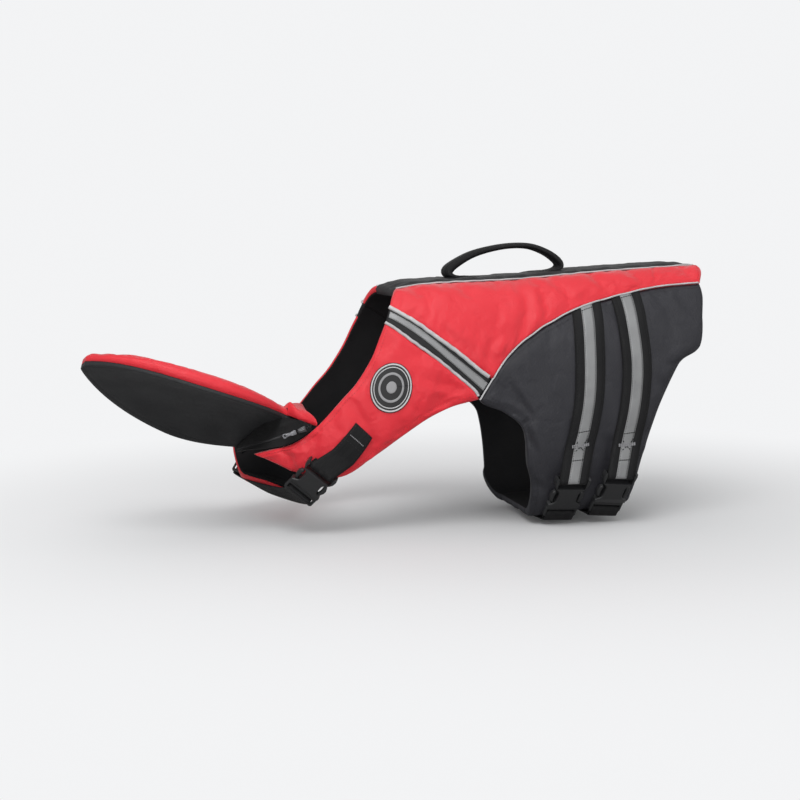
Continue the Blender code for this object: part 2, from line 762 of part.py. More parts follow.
def make_belly(grids):
    line = grids["belly_line"]
    around = 360 - 2 * BELLY_SEAM
    grid = [
        [(x, BELLY_SEAM + around * j / BELLY_ROWS) for x, _ in line] for j in range(BELLY_ROWS + 1)
    ]
    return panel(
        "belly_panel", grid, 0.0, PANEL_THICKNESS + PANEL_INNER, PANEL_RIM + PANEL_INNER,
        charcoal_cloth(),
    )


def make_pipings(grids, side):
    """Pale cords that are sewn into the seams."""
    sign = -1 if side == "left" else 1
    height = PANEL_INNER + PANEL_RIM + LAYER_GAP + PIPING_RADIUS
    for name, line in (
        ("piping_spine_", grids["spine_line"]),
        ("piping_band_top_", grids["band_top"][:-1]),
        ("piping_band_bottom_", grids["band_bottom"][:-1]),
        ("piping_seam_", [grids["band_bottom"][-1]] + grids["seam"]),
    ):
        points = [body_point(x, sign * angle, height) for x, angle in line]
        tube(name + side, points, PIPING_RADIUS, piping_cord())


def make_handle():
    """Grab handle of padded webbing, standing up from the spine panel on two sewn feet."""
    arch = spread([tuple(row) for row in HANDLE_ARCH], HANDLE_COLUMNS)

    def place(i, j, side):
        x, rise, width, thickness = arch[i]
        before, after = arch[max(i - 1, 0)], arch[min(i + 1, len(arch) - 1)]
        along = Vector((after[0] - before[0], 0, after[1] - before[1])).normalized()
        outward = Vector((-along.z, 0, along.x))
        middle = Vector((x, 0, body_surface(x, 0).z + SPINE_THICKNESS + rise))
        return middle + outward * (side - 0.5) * thickness + Vector((0, (j / 2 - 0.5) * width, 0))

    return slab("lifting_handle", len(arch) - 1, 2, place, webbing_cloth())


# ---------------------------------------------------------------- chin float

def float_axes():
    yaw, pitch, roll = (math.radians(a) for a in (FLOAT_YAW, FLOAT_PITCH, FLOAT_ROLL))
    along = Vector((
        -math.cos(yaw) * math.cos(pitch), -math.sin(yaw) * math.cos(pitch), math.sin(pitch),
    ))
    level = Vector((0, 0, 1)).cross(along).normalized() * -1
    under = along.cross(level)
    across = level * math.cos(roll) + under * math.sin(roll)
    return along, across, along.cross(across)


def float_point(along_share, across_share, lift):
    """Point of the float: shares of its length and half width, lift above its underside."""
    along, across, under = float_axes()
    body = (1 - max(along_share, 0.0) ** FLOAT_TIP_POWER) ** (1 / FLOAT_TIP_ROUND)
    flare = min(1.0, max(along_share, 0.0) * FLOAT_FLARE)
    width = body * (FLOAT_BASE_SHARE + (1 - FLOAT_BASE_SHARE) * flare * (2 - flare))
    sag = FLOAT_SAG * 4 * along_share * (1 - along_share)
    cup = FLOAT_CUP * (across_share * width) ** 2
    return (
        FLOAT_BASE + along * FLOAT_LENGTH * along_share
        + across * FLOAT_HALF_WIDTH * width * across_share + under * (cup - sag - lift)
    )


def float_slab(name, low, high, rim, finish):
    def place(i, j, side):
        along_share = FLOAT_TIP * math.sin(math.pi / 2 * i / FLOAT_COLUMNS)
        across_share = 2 * j / FLOAT_ROWS - 1
        on_rim = i in (0, FLOAT_COLUMNS) or j in (0, FLOAT_ROWS)
        lift = low if side == 0 else (rim if on_rim else high)
        return float_point(along_share, across_share, lift)

    return slab(name, FLOAT_COLUMNS, FLOAT_ROWS, place, finish)


def make_float():
    float_slab("float_underside", 0.0, FLOAT_UNDER, FLOAT_UNDER, black_cloth())
    float_slab(
        "float_cover", FLOAT_UNDER + LAYER_GAP, FLOAT_THICKNESS, FLOAT_RIM, red_cloth()
    )


# ---------------------------------------------------------------- neck bridge and zip

def make_bridge():
    """Padded red piece that closes the neck between the wings and carries the float."""
    rear = spread([tuple(spot) for spot in BRIDGE_REAR], BRIDGE_COLUMNS)

    def place(i, j, side):
        across_share = 2 * i / BRIDGE_COLUMNS - 1
        front = float_point(
            BRIDGE_FRONT_SHARE, across_share, FLOAT_UNDER + BRIDGE_LIFT + side * BRIDGE_THICKNESS
        )
        back = Vector(rear[i]) + Vector((0, 0, side * BRIDGE_THICKNESS))
        point = back.lerp(front, j / BRIDGE_ROWS)
        if 0 < i < BRIDGE_COLUMNS and 0 < j < BRIDGE_ROWS:
            point.z += side * BRIDGE_CROWN
        return point

    return slab("neck_bridge", BRIDGE_COLUMNS, BRIDGE_ROWS, place, red_cloth())


def zip_tape(name, first, second):
    """Strip of zip tape between two lines of points."""
    def place(i, j, side):
        low, high = Vector(first[i]), Vector(second[i])
        before, after = Vector(first[max(i - 1, 0)]), Vector(first[min(i + 1, len(first) - 1)])
        outward = (after - before).cross(high - low).normalized()
        return low.lerp(high, j) + outward * side * ZIP_TAPE_THICKNESS

    return slab(name, len(first) - 1, 1, place, webbing_cloth())


def make_zip():
    """Zip that closes the chest under the float: two tapes, the teeth, slider and pull tab."""
    upper, teeth, lower = (
        spread([tuple(spot) for spot in line], ZIP_COLUMNS)
        for line in (ZIP_UPPER, ZIP_TEETH, ZIP_LOWER)
    )

    def drawn_in(line):
        """The same line beside the teeth, clear of them."""
        return [
            tuple(Vector(tooth) + (Vector(spot) - Vector(tooth)).normalized() * ZIP_TEETH_CLEAR)
            for spot, tooth in zip(line, teeth)
        ]

    zip_tape("zip_tape_upper", drawn_in(upper), upper)
    zip_tape("zip_tape_lower", lower, drawn_in(lower))
    tube("zip_teeth", [Vector(tooth) for tooth in teeth], ZIP_TEETH_RADIUS, webbing_cloth())


# ---------------------------------------------------------------- buckles

def seat_matrix(start, end):
    """Plane of a buckle: origin under its bar, Y along the strap, Z outward."""
    origin = body_point(start.x, start.angle, start.lift)
    along = (body_point(end.x, end.angle, end.lift) - origin).normalized()
    x, angle = (start.x + end.x) / 2, (start.angle + end.angle) / 2
    outward = body_point(x, angle, 1) - body_point(x, angle)
    outward = (outward - along * outward.dot(along)).normalized()
    matrix = Matrix((along.cross(outward), along, outward)).transposed().to_4x4()
    matrix.translation = origin
    return matrix


def bar_place(seat, y):
    """Plane of the end of a strap that stops beside a buckle's bar."""
    return seat @ Matrix.Translation((0, y, BUCKLE_THICKNESS / 2))


def prism(name, outline, low, high, cuts, finish):
    """Flat plastic part: an outline mirrored about Y, extruded, with box-shaped cuts."""
    shape = bmesh.new()
    ring = [(spot.x, spot.y) for spot in outline] + [(-spot.x, spot.y) for spot in outline[::-1]]
    base = shape.faces.new([shape.verts.new((x, y, low)) for x, y in ring])
    raised = bmesh.ops.extrude_face_region(shape, geom=[base], use_keep_orig=True)
    top = [item for item in raised["geom"] if isinstance(item, bmesh.types.BMVert)]
    bmesh.ops.translate(shape, verts=top, vec=(0, 0, high - low))
    rims = [
        edge for edge in shape.edges if abs(edge.verts[0].co.z - edge.verts[1].co.z) < BUCKLE_EDGE
    ]
    bmesh.ops.bevel(
        shape, geom=rims, offset=BUCKLE_EDGE, segments=1, affect="EDGES", profile=0.5, material=-1
    )
    thing = solid(name, shape, finish, HARD_SMOOTH_ANGLE)
    for number, cut in enumerate(cuts):
        box = bmesh.new()
        size = [high_end - low_end for low_end, high_end in zip(cut.low, cut.high)]
        bmesh.ops.create_cube(box, size=1.0)
        bmesh.ops.scale(box, verts=box.verts, vec=size)
        middle = [(low_end + high_end) / 2 for low_end, high_end in zip(cut.low, cut.high)]
        bmesh.ops.translate(box, verts=box.verts, vec=middle)
        cutter = solid(name + "_cutter_" + str(number), box, finish)
        cutting = thing.modifiers.new("cut", "BOOLEAN")
        cutting.operation = "DIFFERENCE"
        cutting.solver = "EXACT"
        cutting.object = cutter
        depsgraph = bpy.context.evaluated_depsgraph_get()
        carved = bpy.data.meshes.new_from_object(thing.evaluated_get(depsgraph))
        thing.modifiers.clear()
        thing.data = carved
        bpy.data.objects.remove(cutter, do_unlink=True)
    return thing


def make_buckles():
    """Side-release buckles: each has a body on the webbing and a clip pushed into it."""
    middle = BUCKLE_THICKNESS / 2
    body = prism(
        "body_pattern", BUCKLE_BODY, 0.0, BUCKLE_THICKNESS, BUCKLE_CUTS, buckle_plastic()
    )
    clip = prism(
        "clip_pattern", CLIP_ARM, middle - CLIP_THICKNESS / 2, middle + CLIP_THICKNESS / 2,
        CLIP_CUTS, buckle_plastic(),
    )
    seats = {
        "belly_front": (BELLY_BUCKLES["front"], BELLY_BUCKLE_SIZE),
        "belly_rear": (BELLY_BUCKLES["rear"], BELLY_BUCKLE_SIZE),
        "chest_left": (CHEST_BUCKLES["left"], CHEST_BUCKLE_SIZE),
        "chest_right": (CHEST_BUCKLES["right"], CHEST_BUCKLE_SIZE),
    }
    for label, (bars, size) in seats.items():
        place = Matrix.Scale(MM, 4) @ seat_matrix(*bars) @ Matrix.Diagonal((*size, 1.0, 1.0))
        for name, pattern in (("buckle_", body), ("clip_", clip)):
            mesh = pattern.data.copy()
            mesh.transform(place)
            thing = bpy.data.objects.new(name + label, mesh)
            bpy.context.scene.collection.objects.link(thing)
    for pattern in (body, clip):
        bpy.data.objects.remove(pattern, do_unlink=True)


def make_chest_webbing(side, wing):
    """Sewn webbing that carries the chest buckle."""
    sign, forward = (-1, 0.0) if side == "left" else (1, CHEST_RIGHT_FORWARD)
    top_front, top_rear, end_front, end_rear = (
        at_height(corner)._replace(x=corner.x - forward) for corner in CHEST_PATCH
    )
    seat = seat_matrix(*CHEST_BUCKLES[side])
    rows = []
    for share in (0.0, 0.5, 1.0):
        low = [a + (b - a) * share for a, b in zip(top_front, top_rear)]
        high = [a + (b - a) * share for a, b in zip(end_front, end_rear)]
        rows.append(spread([tuple(low), tuple(high)], CHEST_PATCH_COLUMNS))
    trim_on_body(
        "chest_webbing_" + side, for_side(rows, side), ground_of([wing]),
        TRIM_LIFT, WEBBING_THICKNESS, webbing_cloth(),
        bar_place(seat, BODY_BAR_END * CHEST_BUCKLE_SIZE[1]),
    )


def make_chest_strap():
    """Webbing under the chest between the two clips, with its adjuster."""
    ends = [
        bar_place(seat_matrix(*CHEST_BUCKLES[side]), CLIP_BAR_END * CHEST_BUCKLE_SIZE[1])
        for side in ("left", "right")
    ]
    middles = [ends[0].translation]
    middles += [body_point(*place) for place in CHEST_STRAP]
    middles += [ends[1].translation]
    route = [Vector(point) for point in spread([tuple(m) for m in middles], CHEST_STRAP_COLUMNS)]
    first, final = ends[0].col[0].xyz, -ends[1].col[0].xyz
    width = CHEST_WEBBING_WIDTH

    def place(i, j, side):
        share = i / CHEST_STRAP_COLUMNS
        across = first.lerp(final, share).normalized()
        along = route[min(i + 1, CHEST_STRAP_COLUMNS)] - route[max(i - 1, 0)]
        outward = across.cross(along).normalized()
        if i in (0, CHEST_STRAP_COLUMNS):
            outward = ends[i // CHEST_STRAP_COLUMNS].col[2].xyz
        return (
            route[i] + across * (j / 2 - 0.5) * width
            + outward * (side - 0.5) * WEBBING_THICKNESS
        )

    slab("chest_strap", CHEST_STRAP_COLUMNS, 2, place, webbing_cloth())


def make_badge(wing):
    """Round rubber badge with no print on it."""
    mm_per_degree = (
        body_surface(BADGE_PLACE.x, BADGE_PLACE.angle + 1) - body_surface(*BADGE_PLACE)
    ).length
    rows = []
    for j in range(BADGE_GRID + 1):
        v = 2 * j / BADGE_GRID - 1
        row = []
        for i in range(BADGE_GRID + 1):
            u = 2 * i / BADGE_GRID - 1
            across = u * math.sqrt(1 - v * v / 2) * BADGE_WIDTH / 2
            down = v * math.sqrt(1 - u * u / 2) * BADGE_HEIGHT / 2
            row.append((BADGE_PLACE.x + across, BADGE_PLACE.angle + down / mm_per_degree))
        rows.append(row)
    trim_on_body(
        "badge", rows, ground_of([wing]), LAYER_GAP, BADGE_THICKNESS, badge_rubber()
    )


def make_slider():
    """Metal zip slider on the teeth, and its pull tab lying forward along the zip."""
    teeth = spread([tuple(spot) for spot in ZIP_TEETH], ZIP_COLUMNS)
    lower = spread([tuple(spot) for spot in ZIP_LOWER], ZIP_COLUMNS)
    seat = Vector(teeth[SLIDER_COLUMN])
    along = (Vector(teeth[SLIDER_COLUMN + 1]) - Vector(teeth[SLIDER_COLUMN - 1])).normalized()
    down = Vector(lower[SLIDER_COLUMN]) - seat
    outward = along.cross(down).normalized()
    across = outward.cross(along)
    frame = Matrix((along, across, outward)).transposed().to_4x4()
    frame.translation = seat + outward * (ZIP_TEETH_RADIUS + LAYER_GAP)
    frame = Matrix.Scale(MM, 4) @ frame
    for name, size, middle in (
        ("zip_slider", SLIDER_SIZE, (0, 0, SLIDER_SIZE[2] / 2)),
        ("zip_pull", PULL_SIZE, PULL_MIDDLE),
    ):
        shape = bmesh.new()
        bmesh.ops.create_cube(shape, size=1.0)
        bmesh.ops.scale(shape, verts=shape.verts, vec=size)
        bmesh.ops.translate(shape, verts=shape.verts, vec=middle)
        bmesh.ops.bevel(
            shape, geom=shape.edges[:], offset=SLIDER_EDGE, segments=1, affect="EDGES",
            profile=0.5, material=-1,
        )
        thing = solid(name, shape, zip_metal(), HARD_SMOOTH_ANGLE)
        thing.data.transform(frame)


def main():
    clear_scene()
    grids = garment_grids()
    make_spine(grids)
    belly = make_belly(grids)
    for side in ("left", "right"):
        flap, wing = make_side_panels(grids, side)
        make_lining(grids, side)
        make_band(grids, side)
        make_webbing(side, [flap, belly])
        make_pipings(grids, side)
        make_chest_webbing(side, wing)
        if side == "left":
            make_badge(wing)
    make_handle()
    make_float()
    make_bridge()
    make_zip()
    make_slider()
    make_buckles()
    make_chest_strap()


main()
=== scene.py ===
import math
import bmesh
import bpy
import numpy as np
from mathutils import Matrix, Vector
from mathutils.bvhtree import BVHTree


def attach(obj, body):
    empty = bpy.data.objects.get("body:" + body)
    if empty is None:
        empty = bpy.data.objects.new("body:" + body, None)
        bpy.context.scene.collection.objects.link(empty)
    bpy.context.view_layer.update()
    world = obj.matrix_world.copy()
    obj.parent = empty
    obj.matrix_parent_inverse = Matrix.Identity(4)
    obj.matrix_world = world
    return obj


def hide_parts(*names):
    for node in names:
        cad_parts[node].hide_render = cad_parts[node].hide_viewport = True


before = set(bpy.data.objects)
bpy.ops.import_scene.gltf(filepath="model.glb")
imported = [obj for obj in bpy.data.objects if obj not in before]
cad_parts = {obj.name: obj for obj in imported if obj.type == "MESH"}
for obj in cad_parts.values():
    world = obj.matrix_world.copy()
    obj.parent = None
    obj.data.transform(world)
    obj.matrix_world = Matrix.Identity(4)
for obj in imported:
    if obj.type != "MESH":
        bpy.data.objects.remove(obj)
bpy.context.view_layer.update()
scene = bpy.context.scene
mm = 0.001  # the tables are in millimetres
fine = 9  # steps to each column of the frame's own grid


def axesMatrix(first, second, third, origin):
    matrix = Matrix((first, second, third)).transposed().to_4x4()
    matrix.translation = origin
    return matrix


def meshOf(shape, name):
    mesh = bpy.data.meshes.new(name)
    shape.to_mesh(mesh)
    shape.free()
    return mesh


# where the camera looks from, and the column and row of the render that the origin falls on
view = {"azimuth": -12.5, "elevation": 6.2, "distance": 1.8, "lens": 64.8, "sensor": 36.0,
        "origin": (503.0, 285.6), "perPixel": 0.00125, "side": 800}


def makeCamera():
    turn, lift = math.radians(view["azimuth"]), math.radians(view["elevation"])
    forward = Vector((-math.sin(turn) * math.cos(lift), math.cos(turn) * math.cos(lift), -math.sin(lift)))
    right = Vector((math.cos(turn), math.sin(turn), 0))
    upward = right.cross(forward)
    half = view["side"] / 2
    target = (right * (half - view["origin"][0]) + upward * (view["origin"][1] - half)) * view["perPixel"]
    camera = bpy.data.objects.new("camera", bpy.data.cameras.new("camera"))
    scene.collection.objects.link(camera)
    camera.data.lens, camera.data.sensor_width = view["lens"], view["sensor"]
    camera.matrix_world = axesMatrix(right, upward, -forward, target - forward * view["distance"])
    scene.camera = camera
    return camera.matrix_world.translation.copy(), forward, right, upward


cameraPlace, forward, right, upward = makeCamera()


def pixelOf(points):
    # column and row in the main render of points in millimetres
    away = points * mm - np.array(cameraPlace)
    depth = away @ np.array(forward)
    scale = view["side"] * view["lens"] / view["sensor"]
    return view["side"] / 2 + scale * (away @ np.array(right)) / depth, \
        view["side"] / 2 - scale * (away @ np.array(upward)) / depth


def put(tree, kind, inputs=None, **settings):
    made = tree.nodes.new("ShaderNode" + kind)
    for name, value in settings.items():
        setattr(made, name, value)
    for name, value in (inputs or {}).items():
        if isinstance(value, bpy.types.NodeSocket):
            tree.links.new(value, made.inputs[name])
        else:
            made.inputs[name].default_value = value
    return made


def maths(tree, operation, first, second=0.0, third=0.0):
    return put(tree, "Math", {0: first, 1: second, 2: third}, operation=operation).outputs[0]


def times(tree, first, second):
    return maths(tree, "MULTIPLY", first, second)


def blendOf(tree, share, first, second):
    # colours are given as three numbers or as another node's output
    first, second = (part if isinstance(part, bpy.types.NodeSocket) else (*part, 1) for part in (first, second))
    return put(tree, "Mix", {0: share, 6: first, 7: second}, data_type="RGBA").outputs[2]


def ranged(tree, value, low, high, newLow=0.0, newHigh=1.0, **settings):
    return put(tree, "MapRange", {0: value, 1: low, 2: high, 3: newLow, 4: newHigh}, **settings).outputs[0]


def noise(tree, vector, scale, detail, roughness=0.5):
    return put(tree, "TexNoise", {"Vector": vector, "Scale": scale, "Detail": detail, "Roughness": roughness}).outputs


studio = {
    "world": 0.33, "pale": (0.895, 0.90, 0.91),  # light from all round, and the backdrop that the camera sees
    "floor": -0.2910, "floorSize": 16.0, "paper": (0.86, 0.865, 0.875), "bounce": 0.38, "fade": (0.22, 1.0),
    "aim": (-0.05, 0, -0.12),
    "lights": {  # place, size and power
        "key": ((-0.7, -1.3, 1.6), 1.2, 24.0), "fill": ((1.5, -1.6, 0.5), 1.6, 6.5),
        "front": ((-0.9, -2.2, -0.02), 1.0, 15.0), "rim": ((0.3, 1.7, 1.2), 1.4, 4.0),
        "top": ((0.2, -0.1, 1.9), 1.6, 4.0)},
}


def seenAs(tree, hidden, shown):
    # one grey for the light that reaches the jacket, and a colour for the camera
    return blendOf(tree, put(tree, "LightPath").outputs["Is Camera Ray"], (hidden,) * 3, shown)


def makeStudio():
    world = bpy.data.worlds.new("studio")
    world.use_nodes = True
    tree = world.node_tree
    tree.links.new(seenAs(tree, studio["world"], studio["pale"]), tree.nodes["Background"].inputs["Color"])
    scene.world = world
    for name, (place, size, power) in studio["lights"].items():
        light = bpy.data.objects.new(name, bpy.data.lights.new(name, "AREA"))
        light.data.size, light.data.energy = size, power
        light.location = place
        light.rotation_euler = (Vector(studio["aim"]) - Vector(place)).to_track_quat("-Z", "Y").to_euler()
        scene.collection.objects.link(light)
    shape = bmesh.new()
    bmesh.ops.create_circle(shape, cap_ends=True, radius=studio["floorSize"], segments=96)
    mesh = meshOf(shape, "floor")
    mesh.transform(Matrix.Translation((0, 0, studio["floor"])))
    floor = bpy.data.objects.new("floor", mesh)
    scene.collection.objects.link(floor)
    paper = bpy.data.materials.new("floorPaper")
    paper.use_nodes = True
    tree = paper.node_tree
    shader = tree.nodes["Principled BSDF"]
    tree.links.new(seenAs(tree, studio["bounce"], studio["paper"]), shader.inputs["Base Color"])
    shader.inputs["Roughness"].default_value = 0.9
    shader.inputs["Specular IOR Level"].default_value = 0.1
    # far from the jacket the paper fades into the pale backdrop
    away = put(tree, "VectorMath", {0: put(tree, "TexCoord").outputs["Object"]}, operation="LENGTH").outputs["Value"]
    share = ranged(tree, away, *studio["fade"], interpolation_type="SMOOTHSTEP")
    glow = put(tree, "Emission", {"Color": seenAs(tree, studio["bounce"], studio["pale"])})
    both = put(tree, "MixShader", {0: share, 1: shader.outputs[0], 2: glow.outputs[0]})
    tree.links.new(both.outputs[0], tree.nodes["Material Output"].inputs["Surface"])
    mesh.materials.append(paper)
    scene.view_settings.view_transform = "Standard"


makeStudio()
print("camera, lights and floor are set")

# sizes of the textures that several finishes share, in waves to a metre; shifts are in metres
grain = {"slub": 160.0, "slubShift": 0.0004, "streak": 420.0, "slant": 2.2, "scuff": 260.0, "dust": 900.0,
         "bend": 18.0, "bendShift": 0.02, "ridge": 1.3}


def newGroup(name, inputs, outputs):
    group = bpy.data.node_groups.new(name, "ShaderNodeTree")
    for label, value in inputs:
        kind = "NodeSocketVector" if value is None else "NodeSocketFloat"
        socket = group.interface.new_socket(label, in_out="INPUT", socket_type=kind)
        if value is not None:
            socket.default_value = value
    for label in outputs:
        group.interface.new_socket(label, in_out="OUTPUT", socket_type="NodeSocketFloat")
    return group, group.nodes.new("NodeGroupInput").outputs, group.nodes.new("NodeGroupOutput").inputs


def shifted(group, vector, by, size):
    # the place moved about by a noise
    moved = put(group, "VectorMath", {0: by["Color"], 1: (size,) * 3}, operation="MULTIPLY")
    return put(group, "VectorMath", {0: vector, 1: moved.outputs[0]}, operation="ADD").outputs[0]


def makeThreadWeave():
    # plain weave: warp and weft cross over and under, Threads is the number in a metre
    group, given, out = newGroup("threadWeave", [("Vector", None), ("Threads", 1250.0), ("Slub", 0.25)],
                                 ["Height", "Shade"])
    moved = shifted(group, given["Vector"], noise(group, given["Vector"], grain["slub"], 2.0), grain["slubShift"])
    parts = put(group, "SeparateXYZ", {0: moved}).outputs
    warp, weft = (times(group, part, given["Threads"]) for part in (parts[0], parts[1]))
    humps = [maths(group, "ABSOLUTE", maths(group, "SINE", times(group, line, math.pi))) for line in (warp, weft)]
    crossing = maths(group, "ADD", maths(group, "FLOOR", warp), maths(group, "FLOOR", weft))
    over = maths(group, "PINGPONG", crossing, 1.0)
    group.links.new(put(group, "Mix", {0: over, 2: humps[0], 3: humps[1]}).outputs[0], out["Height"])
    streak = maths(group, "SUBTRACT", noise(group, moved, grain["streak"], 1.0)[0], 0.5)
    group.links.new(maths(group, "MULTIPLY_ADD", streak, given["Slub"], 1.0), out["Shade"])
    return group


def makeRipGrid():
    # stronger threads that cross at every Spacing metres
    group, given, out = newGroup("ripGrid", [("Vector", None), ("Spacing", 0.005), ("Width", 0.12)], ["Line"])
    parts = put(group, "SeparateXYZ", {0: given["Vector"]}).outputs
    lines = []
    for part in (parts[0], parts[1]):
        saw = maths(group, "FRACT", maths(group, "DIVIDE", part, given["Spacing"]))
        gap = maths(group, "ABSOLUTE", maths(group, "SUBTRACT", saw, 0.5))
        lines.append(ranged(group, gap, given["Width"], 0.0))
    group.links.new(maths(group, "MAXIMUM", lines[0], lines[1]), out["Line"])
    return group


def makeRibs():
    # woven webbing: slanting ribs that change direction in bands across the width
    group, given, out = newGroup("webbingRibs", [("Vector", None), ("Ribs", 620.0), ("Bands", 160.0)],
                                 ["Height", "Band"])
    parts = put(group, "SeparateXYZ", {0: given["Vector"]}).outputs
    zigzag = maths(group, "PINGPONG", times(group, parts[1], given["Bands"]), 1.0)
    run = maths(group, "MULTIPLY_ADD", parts[0], given["Ribs"], times(group, zigzag, grain["slant"]))
    rib = maths(group, "ABSOLUTE", maths(group, "SINE", times(group, run, math.pi)))
    valley = ranged(group, maths(group, "ABSOLUTE", maths(group, "SUBTRACT", zigzag, 0.5)), 0.5, 0.38)
    group.links.new(times(group, rib, maths(group, "MULTIPLY_ADD", valley, 0.5, 0.5)), out["Height"])
    group.links.new(valley, out["Band"])
    return group


def makeWear():
    # uneven patches: Patch is broad, Scuff is fine and sparse, Dust is soft specks
    group, given, out = newGroup("wear", [("Vector", None), ("Size", 14.0)], ["Patch", "Scuff", "Dust"])
    broad = noise(group, given["Vector"], given["Size"], 3.0, 0.55)[0]
    scuff = noise(group, given["Vector"], grain["scuff"], 4.0, 0.65)[0]
    dust = noise(group, given["Vector"], grain["dust"], 2.0)[0]
    group.links.new(ranged(group, broad, 0.3, 0.7), out["Patch"])
    group.links.new(times(group, ranged(group, scuff, 0.58, 0.75), ranged(group, broad, 0.4, 0.75)), out["Scuff"])
    group.links.new(ranged(group, dust, 0.66, 0.8), out["Dust"])
    return group


def makeCrumple():
    # small soft wrinkles of cloth over padding
    group, given, out = newGroup("crumple", [("Vector", None), ("Size", 55.0)], ["Height"])
    moved = shifted(group, given["Vector"], noise(group, given["Vector"], grain["bend"], 2.0), grain["bendShift"])
    soft = noise(group, moved, given["Size"], 3.0, 0.45)[0]
    ridge = maths(group, "ABSOLUTE", maths(group, "SUBTRACT", soft, 0.5))
    group.links.new(maths(group, "SUBTRACT", soft, times(group, ridge, grain["ridge"])), out["Height"])
    return group


groups = {"weave": makeThreadWeave(), "grid": makeRipGrid(), "ribs": makeRibs(), "wear": makeWear(),
          "crumple": makeCrumple()}


def startMaterial(name):
    made = bpy.data.materials.new(name)
    made.use_nodes = True
    tree = made.node_tree
    return made, tree, tree.nodes["Principled BSDF"], put(tree, "TexCoord").outputs["Object"]


def placeGroup(tree, name, inputs):
    return put(tree, "Group", inputs, node_tree=groups[name]).outputs


def flatOf(tree, turn=None):
    # place on the flat cut of the cloth, and the same turned for cloth that is cut on the slant
    flat = put(tree, "UVMap", uv_map="cut").outputs[0]
    return flat if turn is None else put(tree, "Mapping", {"Vector": flat, "Rotation": (0, 0, turn)}).outputs[0]


def finishShader(tree, shader, colour, gloss, bumps, fixed):
    # gloss is roughness, what the patches add to it, and the patches
    roughness, spread, patch = gloss
    tree.links.new(colour, shader.inputs["Base Color"])
    tree.links.new(maths(tree, "ADD", roughness, times(tree, patch, spread)), shader.inputs["Roughness"])
    normal = {}
    for height, distance, strength in bumps:
        inputs = {"Height": height, "Distance": distance, "Strength": strength, **normal}
        normal = {"Normal": put(tree, "Bump", inputs).outputs[0]}
    tree.links.new(normal["Normal"], shader.inputs["Normal"])
    for label, value in fixed.items():
        shader.inputs[label].default_value = value


# what all cloths share, and what each has of its own; threads to a metre, grid and crumple in metres; deep is the
# colour of darker random patches and also of the painted shade in the gaps between threads
clothBase = {"threads": 1250.0, "turn": 0.0, "grid": 0.0, "sheen": 0.02, "sheenTint": (0.8, 0.8, 0.9),
             "patchSize": 16.0, "foldSize": 60.0, "worn": 0.55, "gapShade": 0.35, "dust": 0.25, "gridTone": 0.14}
cloths = {
    "redOxford": {"colour": (0.87, 0.024, 0.042), "deep": (0.77, 0.014, 0.028), "roughness": 0.44,
                  "crumple": 0.0022, "sheen": 0.30, "sheenTint": (1.0, 0.85, 0.85), "specular": 0.5},
    "blackOxford": {"colour": (0.0125, 0.0125, 0.014), "deep": (0.007, 0.007, 0.008), "roughness": 0.55,
                    "crumple": 0.0014, "specular": 0.40},
    "charcoalRipstop": {"colour": (0.032, 0.032, 0.039), "deep": (0.019, 0.019, 0.024), "roughness": 0.52,
                        "threads": 1100.0, "turn": 0.5, "grid": 0.0026, "crumple": 0.0022,
                        "sheenTint": (0.8, 0.8, 1.0), "specular": 0.40},
    "liningMesh": {"colour": (0.010, 0.010, 0.011), "deep": (0.005, 0.005, 0.006), "roughness": 0.75,
                   "threads": 520.0, "turn": 0.785, "crumple": 0.0012, "sheen": 0.01,
                   "sheenTint": (0.8, 0.8, 0.8), "specular": 0.25},
    "floatLining": {"colour": (0.028, 0.029, 0.031), "deep": (0.017, 0.017, 0.019), "roughness": 0.58,
                    "threads": 1100.0, "turn": 0.2, "crumple": 0.0013, "sheenTint": (0.8, 0.8, 0.85),
                    "specular": 0.35},
}


def makeCloth(name):
    want = {**clothBase, **cloths[name]}
    made, tree, shader, place = startMaterial(name)
    turned = flatOf(tree, want["turn"])
    weave = placeGroup(tree, "weave", {"Vector": turned, "Threads": want["threads"]})
    worn = placeGroup(tree, "wear", {"Vector": place, "Size": want["patchSize"]})
    folds = placeGroup(tree, "crumple", {"Vector": place, "Size": want["foldSize"]})
    colour = blendOf(tree, times(tree, worn["Patch"], want["worn"]), want["colour"], want["deep"])
    # painted shade: the gaps between the threads are darkened towards the deep colour
    between = times(tree, maths(tree, "SUBTRACT", 1.0, weave["Height"]), want["gapShade"])
    colour = blendOf(tree, between, colour, want["deep"])
    pale = tuple(min(1.0, part * 1.7 + 0.02) for part in want["colour"])
    colour = blendOf(tree, times(tree, worn["Dust"], want["dust"]), colour, pale)
    heights = weave["Height"]
    if want["grid"]:
        line = placeGroup(tree, "grid", {"Vector": turned, "Spacing": want["grid"]})["Line"]
        colour = blendOf(tree, times(tree, line, want["gridTone"]), colour, pale)
        heights = maths(tree, "ADD", heights, times(tree, line, 0.8))
    finishShader(tree, shader, colour, (want["roughness"] - 0.05, 0.12, worn["Patch"]),
                 [(folds["Height"], want["crumple"], 0.55), (heights, 0.00012, 0.7)],
                 {"Sheen Weight": want["sheen"], "Sheen Roughness": 0.45, "Sheen Tint": (*want["sheenTint"], 1),
                  "Specular IOR Level": want["specular"]})
    return made


webbings = {  # colour, the darker colour of the painted shade between the ribs, and ribs to a metre
    "blackWebbing": ((0.011, 0.011, 0.012), (0.004, 0.004, 0.005), 620.0),
    "zipTape": ((0.010, 0.010, 0.011), (0.004, 0.004, 0.004), 1300.0),
}


